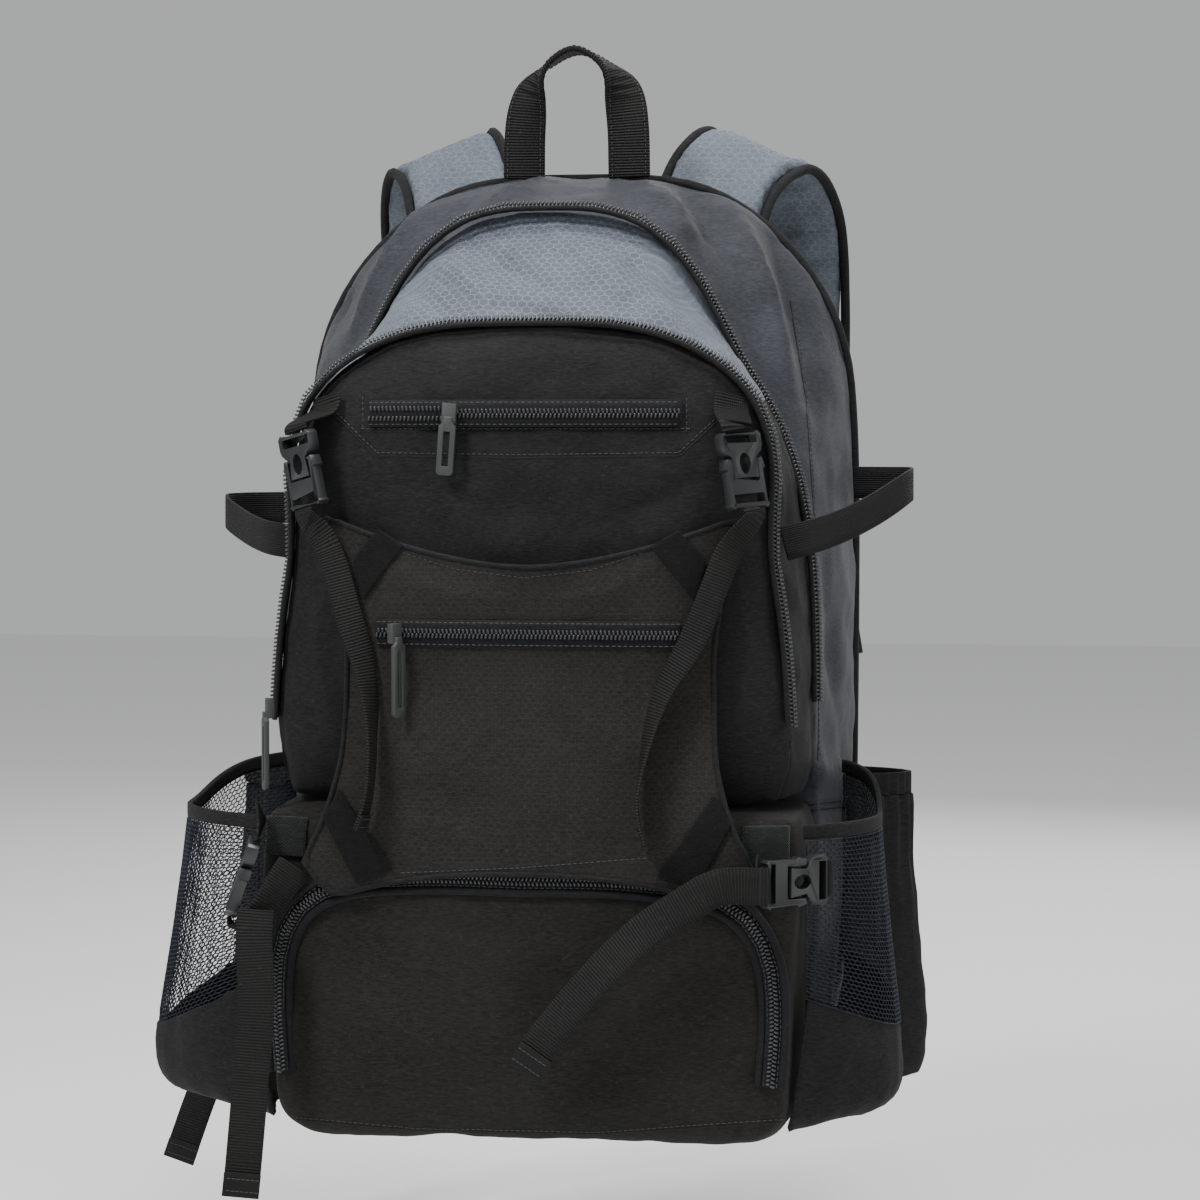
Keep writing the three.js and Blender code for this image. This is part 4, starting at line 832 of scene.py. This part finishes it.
crumpled(lower_pocket, height=2.3 * MM, grain=55 * MM, start=21.3)
dress(lower_pocket, "cloth_black", warm_cloth, "lower_pocket")
seams("lower_pocket", lower_pocket, LOWER_SEAMS, "cloth_black")
tape("lower_zip")
ridge, facing, across = zip_line("lower_zip")
coil("lower_coil", ridge, facing)
stitches("lower_zip_stitches", [(ridge, facing)], "zip_tape", (-LOWER_ZIP_SEAM, LOWER_ZIP_SEAM))
for end, word in [(-1, "outer"), (1, "inner")]:
    welt = ridge + end * WELT_ASIDE * across - WELT_DROP * facing
    dress(tube(f"lower_zip_welt_{word}", welt, WELT_RADIUS), "zip_tape", zip_tape)
loop_pile = fabric(
    "loop_pile", (0.003, 0.0036, 0.0037), (0.0115, 0.0128, 0.013), roughness=1.0, sheen=0.3,
    pitch=1.6 * MM, relief=1.0,
)
for patch_name in ["tab_patch_left", "tab_patch_right"]:
    patch = soft_shell(patch_name + "_pile", patch_name, levels=2)
    dress(patch, "cloth_black", loop_pile, patch_name)

# The holder panel: charcoal ripstop stretched over the front between four buckles, its edges bound.
# A zip with a narrow frame of stitches crosses it, and ribbed bands are sewn over its corners.
HOLDER_FOLDS = [
    {"line": [(372, 560), (440, 590), (520, 600)], "rise": 1.8 * MM, "width": 10 * MM},
    {"line": [(690, 530), (640, 575), (560, 598)], "rise": 1.8 * MM, "width": 10 * MM},
    {"line": [(350, 800), (420, 790), (500, 800)], "rise": -1.8 * MM, "width": 12 * MM},
    {"line": [(560, 700), (620, 740), (660, 800)], "rise": 1.8 * MM, "width": 14 * MM},
    {"line": [(420, 690), (410, 740), (400, 800)], "rise": 1.8 * MM, "width": 14 * MM},
]
HOLDER_DARK = (0.0095, 0.0088, 0.0075)
HOLDER_LIGHT = (0.022, 0.0205, 0.018)
holder_cloth = fabric("charcoal_stretch", HOLDER_DARK, HOLDER_LIGHT, hexes=0.25, cell=4.2 * MM)
HOLDER_ZIP_FRAME = 6 * MM
HOLDER_FACING = -0.4
HOLDER_BINDING = 1.5 * MM
holder_copy = merged("holder_panel")


def front_rim(bm):
    """The corners round the front of a sheet, in order."""
    left = [
        edge for edge in bm.edges
        if sum(face.normal.y < HOLDER_FACING for face in edge.link_faces) == 1
    ]
    rim = [left[0].verts[0]]
    while left:
        edge = next(edge for edge in left if rim[-1] in edge.verts)
        left.remove(edge)
        rim.append(edge.other_vert(rim[-1]))
    return np.array([corner.co[:] for corner in rim[:-1]])


holder_rim = front_rim(holder_copy)
holder_copy.free()
holder = soft_shell("holder_cloth", "holder_panel", levels=3)
pressed(holder, HOLDER_FOLDS)
crumpled(holder, height=0.8 * MM, grain=45 * MM, start=33.1)
dress(holder, "cloth_charcoal", holder_cloth, "holder_panel")
holder_binding = tube("holder_binding", holder_rim, HOLDER_BINDING, closed=True)
dress(holder_binding, "cloth_charcoal", black_cloth)
HOLDER_SEAMS = [
    [(345, 512), (400, 552), (455, 569), (524, 578), (592, 570), (644, 552), (708, 512)],
    [(400, 873), (520, 868), (648, 858)],
]
surface = surface_of(holder)
stitches("holder_stitches", [traced(surface, line) for line in HOLDER_SEAMS], "cloth_charcoal")
tape("holder_zip")
ridge, facing, across = zip_line("holder_zip")
coil("holder_coil", ridge, facing)
holder_frame = (-HOLDER_ZIP_FRAME, HOLDER_ZIP_FRAME)
stitches("holder_zip_stitches", [(ridge, facing)], "zip_tape", holder_frame)
band_cloth = fabric(
    "band_twill", (0.0025, 0.0025, 0.003), (0.0065, 0.0065, 0.007), pitch=1.6 * MM, relief=0.8
)
for level in ["upper", "lower"]:
    for side in ["left", "right"]:
        band_name = f"holder_band_{level}_{side}"
        band = soft_shell(band_name + "_cloth", band_name, levels=2)
        dress(band, "cloth_black", band_cloth, band_name)

# The mesh pockets: a knitted net of long hexagons over a plain cloth base, with a stitched cloth
# band round the rim. Each is sewn to the sides of the bag.
POUCH_COLUMNS = 11
POUCH_FACING = 0.02
POUCH_STOPS = 30
POUCH_SLACK = 0.5 * MM
POUCH_STEP = 0.4 * MM
NET_CELL = (3.6 * MM, 2.6 * MM)
NET_THREAD = 0.85 * MM
NET_FLOOR = 0.47
TUCK_HEIGHT = 70 * MM
TUCK_REACH = 40 * MM
TUCK_DEPTH = 9 * MM
BASE_CELL = (8 * MM, 8 * MM)
BASE_WALL = 1.4 * MM
BASE_LAP = 0.01
HEXAGON_SHIFT = 0.17


def pouch_grid(node_name):
    """The outer wall of a pouch as rows of corners, from its floor up, front to back."""
    side = -1 if node_name.endswith("left") else 1
    bm = merged(node_name, quads=False)
    places = np.array([
        corner.co[:] for corner in bm.verts
        if any(face.normal.x * side > POUCH_FACING for face in corner.link_faces)
    ])
    bm.free()
    depths = np.linspace(places[:, 1].min(), places[:, 1].max(), POUCH_COLUMNS)
    columns = []
    for depth in depths:
        column = places[np.abs(places[:, 1] - depth) < POUCH_SLACK]
        column = column[np.argsort(column[:, 2])]
        levels = {}
        for place in column:
            key = round(place[2] / POUCH_STEP)
            if key not in levels or place[0] * side > levels[key][0] * side:
                levels[key] = place
        columns.append([levels[key] for key in sorted(levels)])
    return columns


def on_grid(columns, across, upward):
    """A place on a pouch: shares of the way from its front to its back, and from floor to rim."""
    spot = min(across, 0.99999) * (len(columns) - 1)
    first = int(spot)
    ends = []
    for column in map(np.array, columns[first:first + 2]):
        length = lengths_along(column)
        ends.append([np.interp(upward * length[-1], length, column[:, axis]) for axis in range(3)])
    return Vector(np.array(ends[0]) * (1 - spot + first) + np.array(ends[1]) * (spot - first))


def grid_sheet(name, columns, low, high, cell, net=False):
    """A sheet on part of a pouch: plain cloth, or a net whose bricks are drawn into hexagons."""
    halfway = (low + high) / 2
    shares = np.linspace(0, 1, POUCH_STOPS)
    middle = np.array([on_grid(columns, share, halfway) for share in shares])
    rise = (on_grid(columns, 0.5, high) - on_grid(columns, 0.5, low)).length
    wide = int(lengths_along(middle)[-1] / cell[0]) * 2
    tall = int(rise / cell[1])
    bm = bmesh.new()
    bmesh.ops.create_grid(bm, x_segments=wide, y_segments=tall, size=1)
    for corner in bm.verts:
        corner.co.x = round((corner.co.x + 1) / 2 * wide)
        corner.co.y = round((corner.co.y + 1) / 2 * tall)
    if net:
        spare = []
        for edge in bm.edges:
            first, last = edge.verts
            upright = first.co.x == last.co.x and 0 < first.co.x < wide
            if upright and (first.co.x + min(first.co.y, last.co.y)) % 2:
                spare.append(edge)
        bmesh.ops.dissolve_edges(bm, edges=spare, use_verts=False)
        for corner in bm.verts:
            if 0 < corner.co.y < tall:
                even = (corner.co.x + corner.co.y) % 2 == 0
                corner.co.y += HEXAGON_SHIFT if even else -HEXAGON_SHIFT
    for corner in bm.verts:
        share = low + (high - low) * corner.co.y / tall
        corner.co = on_grid(columns, corner.co.x / wide, share)
    return piece_from(name, bm)


net_thread = fabric(
    "net_thread", (0.006, 0.008, 0.014), (0.016, 0.019, 0.03), roughness=0.6, sheen=0.1
)
rim_cloth = fabric("rim_cloth", BLACK_DARK, BLACK_LIGHT, pitch=1.4 * MM, relief=0.7)
for side in ["left", "right"]:
    pocket_name = f"mesh_pocket_{side}"
    columns = pouch_grid(pocket_name)
    net = grid_sheet(pocket_name + "_net", columns, NET_FLOOR - BASE_LAP, 1, NET_CELL, net=True)
    strands = net.modifiers.new("strands", "WIREFRAME")
    strands.thickness = NET_THREAD
    strands.use_boundary = True
    strands.use_even_offset = False
    settled(net)
    dress(net, "mesh_navy", net_thread, pocket_name)
    base = grid_sheet(pocket_name + "_base", columns, 0, NET_FLOOR, BASE_CELL)
    thick = base.modifiers.new("wall", "SOLIDIFY")
    thick.thickness = BASE_WALL
    settled(base)
    smoothed(base, levels=1)
    crumpled(base, height=1.4 * MM, grain=30 * MM, start=5.5)
    places = corners(base.data)
    low = np.clip(1 - (places[:, 2] - places[:, 2].min()) / TUCK_HEIGHT, 0, 1)
    ahead = np.clip(1 - (places[:, 1] - places[:, 1].min()) / TUCK_REACH, 0, 1)
    places[:, 0] -= np.sign(places[:, 0].mean()) * TUCK_DEPTH * low * ahead
    move_to(base, places)
    dress(base, "mesh_navy", black_cloth)
    rim = soft_shell(f"mesh_rim_{side}_band", f"mesh_rim_{side}", levels=2)
    dress(rim, "elastic", rim_cloth, f"mesh_rim_{side}")

# The side sleeves: deep open-topped cloth sleeves that stand behind the mesh pockets.
# Each is sewn to the side of the bag, and gathered at its mouth by a sewn elastic rim.
GATHER_PITCH = 7 * MM
GATHER_HEIGHT = 1.6 * MM
GATHER_REACH = 45 * MM
GATHER_FADE = 1.5
GATHER_SLANT = 0.15
RIM_RIPPLE = 0.5 * MM
for side in ["left", "right"]:
    sleeve = soft_shell(f"bat_sleeve_{side}_cloth", f"bat_sleeve_{side}", levels=3)
    places = corners(sleeve.data)
    outward = np.sign(places[:, 0].mean())
    fade = np.exp(-((places[:, 2].max() - places[:, 2]) / GATHER_REACH) ** GATHER_FADE)
    along_rim = places[:, 1] + GATHER_SLANT * np.abs(places[:, 0])
    places[:, 0] += outward * GATHER_HEIGHT * fade * np.sin(2 * np.pi * along_rim / GATHER_PITCH)
    move_to(sleeve, places)
    crumpled(sleeve, height=2.2 * MM, grain=45 * MM, start=9.1)
    dress(sleeve, "cloth_black", black_cloth, f"bat_sleeve_{side}")
    rim = soft_shell(f"sleeve_rim_{side}_band", f"sleeve_rim_{side}", levels=3)
    places = corners(rim.data)
    places[:, 0] += outward * RIM_RIPPLE * np.sin(4 * np.pi * places[:, 1] / GATHER_PITCH)
    move_to(rim, places)
    dress(rim, "elastic", rim_cloth, f"sleeve_rim_{side}")

# Webbing: flat black nylon, woven with ribs across it, for the straps, tails, anchors and handle.
# Its free ends are folded over and sewn down with two bars of stitches.
ACROSS_START = (1, 0.3, 0.1)
WEBBING_CREASE = 0.7
FOLD_WIDTH = 2.04
FOLD_LIFT = 0.5 * MM
FOLD_WALL = 1.3 * MM
FOLD_ROUNDING = 0.4 * MM
BAR_SPOTS = 8
BAR_REACH = 0.85
BAR_LIFT = 1.2 * MM
BAR_PITCH = 2.6 * MM
BAR_PLACES = (0.25, 0.75)
CROSS_RIB_PITCH = 0.7
CROSS_RIB_HEIGHT = 0.3
RIB_SHADE_IN_TONE = 0.3
RIB_RELIEF = 0.8
RIB_DEPTH = 0.35 * MM
WEBBING_ROUGHNESS = 0.7
DUST_ON_WEBBING = 0.4
DUST_COLOUR = (0.045, 0.043, 0.041, 1)


def strap_line(node_name):
    """The middle of a strap, the way across it and the way off it, from its upper end down."""
    rings = rings_of(node_name)
    if rings[0][:, 2].mean() < rings[-1][:, 2].mean():
        rings.reverse()
    middle = np.array([ring.mean(axis=0) for ring in rings])
    across = [np.array(ACROSS_START)]
    for ring, centre in zip(rings, middle):
        way = np.linalg.svd(ring - centre)[2][0]
        across.append(-way if way @ across[-1] < 0 else way)
    across = np.array(across[1:])
    off = np.cross(np.gradient(middle, axis=0), across)
    off /= np.linalg.norm(off, axis=1, keepdims=True)
    half = np.abs((rings[0] - middle[0]) @ across[0]).max()
    wall = np.abs((rings[0] - middle[0]) @ off[0]).max()
    return {
        "rings": rings, "middle": middle, "across": across, "off": off, "half": half, "wall": wall,
    }


def ribbed(node_name, slot, material):
    """Webbing with its own place along and across kept at each corner for the ribs to follow."""
    line = strap_line(node_name)
    length = lengths_along(line["middle"])
    bm = merged(node_name)
    along = bm.verts.layers.float.new("along")
    across = bm.verts.layers.float.new("across")
    crease = bm.edges.layers.float.new("crease_edge")
    every = np.concatenate(line["rings"])
    owner = np.repeat(np.arange(len(line["rings"])), [len(ring) for ring in line["rings"]])
    for corner in bm.verts:
        place = np.array(corner.co)
        row = owner[np.linalg.norm(every - place, axis=1).argmin()]
        corner[along] = length[row]
        corner[across] = float((place - line["middle"][row]) @ line["across"][row])
    for edge in bm.edges:
        if edge.calc_face_angle(0) > CREASE_ANGLE:
            edge[crease] = WEBBING_CREASE
    dress(smoothed(piece_from(node_name + "_woven", bm), levels=2), slot, material, node_name)
    return line


def line_at(line, stop):
    """The middle of a strap at a length along it, the way across it, and the way outward."""
    length = lengths_along(line["middle"])
    place, across, off = [
        np.array([np.interp(stop, length, line[what][:, axis]) for axis in range(3)])
        for what in ("middle", "across", "off")
    ]
    return place, across, off if off[1] < 0 else -off


def folded_end(name, line, slot, material, reach):
    """The doubled end of a piece of webbing, with two bars of stitches across it."""
    start = lengths_along(line["middle"])[-1] - reach
    bm = bmesh.new()
    bmesh.ops.create_grid(bm, x_segments=5, y_segments=4, size=0.5)
    for corner in bm.verts:
        place, across, outward = line_at(line, start + (corner.co.x + 0.5) * reach)
        aside = corner.co.y * FOLD_WIDTH * line["half"] * across
        corner.co = Vector(place + aside + outward * (line["wall"] + FOLD_LIFT))
    piece = piece_from(name, bm)
    wall = piece.modifiers.new("wall", "SOLIDIFY")
    wall.thickness = FOLD_WALL
    wall.offset = 0
    rounding = piece.modifiers.new("rounding", "BEVEL")
    rounding.width = FOLD_ROUNDING
    rounding.segments = 2
    dress(settled(piece), slot, material)
    bars = []
    for share in BAR_PLACES:
        place, across, outward = line_at(line, start + share * reach)
        spots = np.linspace(-BAR_REACH, BAR_REACH, BAR_SPOTS)[:, None] * line["half"] * across
        path = place + spots + outward * (line["wall"] + BAR_LIFT)
        bars.append(frames_along(path, np.tile(outward, (BAR_SPOTS, 1)), BAR_PITCH))
    dress(repeated(name + "_stitches", stitch, np.concatenate(bars)), slot, thread)


def ribbed_cloth(name, dark, light, pitch, lengthwise=False):
    """Webbing cloth: rounded ribs at a pitch across or along it, paler on their ridges and darker
    in their grooves as painted highlight and painted shade.
    """
    material, tree, shader = new_material(name)
    place = node(tree, "TexCoord").outputs["Object"]
    worn = placed(tree, wear, {"Place": place})
    directions = ["across", "along"] if lengthwise else ["along", "across"]
    run, other = [node(tree, "Attribute", attribute_name=way).outputs["Fac"] for way in directions]
    rib = maths(tree, "SINE", maths(tree, "MULTIPLY", run, 2 * math.pi / pitch))
    cross_turn = 2 * math.pi / (CROSS_RIB_PITCH * pitch)
    cross = maths(tree, "SINE", maths(tree, "MULTIPLY", other, cross_turn))
    height = maths(tree, "MULTIPLY_ADD", cross, CROSS_RIB_HEIGHT, rib)
    # The tone follows the rib relief, giving painted highlight on the ridges and painted shade in
    # the grooves, on top of the random fading.
    tone = maths(tree, "MULTIPLY_ADD", height, RIB_SHADE_IN_TONE, worn["Fading"])
    colour = mixed(tree, tone, (*dark, 1), (*light, 1))
    dusty = maths(tree, "MULTIPLY", worn["Dust"], DUST_ON_WEBBING)
    colour = mixed(tree, dusty, colour, DUST_COLOUR)
    finished(tree, shader, colour, height, RIB_RELIEF, RIB_DEPTH, WEBBING_ROUGHNESS)
    shader.inputs["Specular IOR Level"].default_value = CLOTH_SHINE
    return material


webbing = ribbed_cloth(
    "ribbed_webbing", (0.003, 0.003, 0.003), (0.017, 0.0162, 0.0155), pitch=1.7 * MM
)
FREE_ENDS = {
    "tail_upper_left": 9 * MM, "tail_upper_right": 9 * MM,
    "tail_lower_left": 14 * MM, "tail_lower_right": 14 * MM,
    "strap_tail_left": 12 * MM, "strap_tail_right": 12 * MM,
}
WEBS = [
    "anchor_upper_left", "anchor_upper_right", "anchor_lower_left", "anchor_lower_right",
    "corner_web_left", "corner_web_right", "strap_webbing_left", "strap_webbing_right", *FREE_ENDS,
]
for web_name in WEBS:
    web_line = ribbed(web_name, "webbing", webbing)
    if web_name in FREE_ENDS:
        folded_end(web_name + "_fold", web_line, "webbing", webbing, FREE_ENDS[web_name])

# The grab handle: one length of the same webbing, bent into an upright loop to lift the bag by.
# It is sewn along both its edges, and its feet go into the seam behind the top of the bag.
HANDLE_SEAM = 0.8
handle_line = ribbed("grab_handle", "webbing", webbing)
handle_edges = []
for side in (-1, 1):
    for face in (-1, 1):
        aside = side * HANDLE_SEAM * handle_line["half"] * handle_line["across"]
        lift = face * handle_line["wall"] * handle_line["off"]
        handle_edges.append((handle_line["middle"] + aside + lift, face * handle_line["off"]))
stitches("handle_stitches", handle_edges, "webbing")

# The side straps: wide loops of flat ribbed elastic, which hold long gear upright in the sleeves.
# Both ends of each are sewn into the seam of the side, so that the loop stands out from it.
elastic = ribbed_cloth(
    "ribbed_elastic", (0.005, 0.005, 0.0055), (0.017, 0.017, 0.018), pitch=1.3 * MM, lengthwise=True
)
for side in ["left", "right"]:
    ribbed(f"bat_strap_{side}", "elastic", elastic)

# The shoulder straps: foam pads covered in slate ripstop, curved over the shoulders, bound in black
# along both edges. Webbing runs on from them through adjusters to the bottom corners.
PAD_VOXEL = 4 * MM
PAD_SWELL = 5 * MM
PAD_BINDING = 3.2 * MM
pad_cloth = fabric(
    "slate_pad_cloth", SLATE_DARK, SLATE_LIGHT, roughness=0.6, sheen=0.06, hexes=0.4
)
for side in ["left", "right"]:
    pad_name = f"shoulder_strap_{side}"
    pad_line = strap_line(pad_name)
    pad = puffed(piece_from(pad_name + "_pad", merged(pad_name)), PAD_VOXEL, PAD_SWELL)
    smoothed(pad, levels=1)
    dress(pad, "cloth_slate", pad_cloth, pad_name)
    outward = -1 if side == "left" else 1
    for edge_side in (-1, 1):
        word = "outer" if edge_side == outward else "inner"
        path = pad_line["middle"] + edge_side * pad_line["half"] * pad_line["across"]
        dress(tube(f"{pad_name}_{word}_binding", path, PAD_BINDING), "cloth_slate", black_cloth)

# Buckles, adjusters and zip pulls: moulded in dark plastic and rubber, with rounded edges, and a
# shallow recess in each broad face of the buckles. The webbing passes through their slots.
FLAT_ANGLE = math.radians(1)
EDGE_ANGLE = math.radians(35)
SHADING_ANGLE = math.radians(40)
BROAD_SHARE = 0.25
WORN_EDGE = 1.9
WORN_SHARE = 0.6
GRAIN_RELIEF = 0.12
GRAIN_DEPTH = 0.2 * MM


def moulded(node_name, slot, material, rounding, rim=0, depth=0):
    """A moulded copy of a CAD piece: its edges rounded, and a recess sunk in its broad faces when a
    rim is given.
    """
    bm = merged(node_name, quads=False)
    bmesh.ops.dissolve_limit(bm, angle_limit=FLAT_ANGLE, verts=bm.verts, edges=bm.edges)
    if rim:
        broadest = max(face.calc_area() for face in bm.faces)
        broad = [face for face in bm.faces if face.calc_area() > BROAD_SHARE * broadest]
        bmesh.ops.inset_region(
            bm, faces=broad, thickness=rim, depth=-depth, use_even_offset=False
        )
    sharp = [
        edge for edge in bm.edges if edge.is_manifold and edge.calc_face_angle() > EDGE_ANGLE
    ]
    bmesh.ops.bevel(
        bm, geom=sharp, affect="EDGES", offset=rounding, segments=2, profile=0.5, material=-1,
        clamp_overlap=True,
    )
    piece = piece_from(node_name + "_moulded", bm)
    piece.data.set_sharp_from_angle(angle=SHADING_ANGLE)
    return dress(piece, slot, material, node_name)


def moulding(name, colour, roughness, grain):
    """Moulded plastic or rubber: one faded tone with a fine pitted grain."""
    material, tree, shader = new_material(name)
    place = node(tree, "TexCoord").outputs["Object"]
    worn = placed(tree, wear, {"Place": place})
    pits = node(tree, "TexNoise", {"Vector": place, "Scale": grain, "Detail": 2}).outputs["Fac"]
    pale = (*[WORN_EDGE * value for value in colour], 1)
    tone = maths(tree, "MULTIPLY", worn["Fading"], WORN_SHARE)
    tint = mixed(tree, tone, (*colour, 1), pale)
    finished(tree, shader, tint, pits, GRAIN_RELIEF, GRAIN_DEPTH, roughness)
    return material


buckle_plastic = moulding("buckle_plastic", (0.012, 0.0125, 0.0135), roughness=0.38, grain=1800)
for corner_name in ["upper_left", "upper_right", "lower_left", "lower_right"]:
    for half_name in ["socket", "plug"]:
        moulded(
            f"buckle_{corner_name}_{half_name}", "buckle_plastic", buckle_plastic,
            rounding=0.5 * MM, rim=1.3 * MM, depth=0.7 * MM,
        )

ADJUSTER_RAIL = 3.4 * MM
ADJUSTER_ROUNDING = 0.6 * MM
ADJUSTER_BARS = [-0.44, -0.08, 0.16, 0.44]
for side in ["left", "right"]:
    adjuster_name = f"strap_adjuster_{side}"
    line = strap_line(adjuster_name)
    middle = line["middle"].mean(axis=0)
    reach = lengths_along(line["middle"])[-1]
    run = (line["middle"][-1] - line["middle"][0]) / reach
    ways = (line["across"][0], run, line["off"][0])
    wide = 2 * line["half"]
    bars = [(0, share * reach, wide, ADJUSTER_RAIL) for share in ADJUSTER_BARS]
    aside = (wide - ADJUSTER_RAIL) / 2
    rails = [(end * aside, 0, ADJUSTER_RAIL, reach) for end in (-1, 1)]
    bm = bmesh.new()
    for across_at, along_at, across_size, along_size in bars + rails:
        bar = bmesh.ops.create_cube(bm, size=1)["verts"]
        bmesh.ops.scale(bm, verts=bar, vec=(across_size, along_size, 2 * line["wall"]))
        bmesh.ops.translate(bm, verts=bar, vec=(across_at, along_at, 0))
    bmesh.ops.bevel(
        bm, geom=bm.edges, affect="EDGES", offset=ADJUSTER_ROUNDING, segments=2, profile=0.5,
        material=-1,
    )
    for corner in bm.verts:
        corner.co = Vector(middle + sum(size * way for size, way in zip(corner.co, ways)))
    adjuster = piece_from(adjuster_name + "_moulded", bm)
    dress(adjuster, "buckle_plastic", buckle_plastic, adjuster_name)

pull_rubber = moulding("pull_rubber", (0.022, 0.025, 0.024), roughness=0.55, grain=2400)
for pull_name in ["chest_pull", "holder_pull", "pocket_pull"]:
    moulded(pull_name, "pull_rubber", pull_rubber, rounding=0.4 * MM)
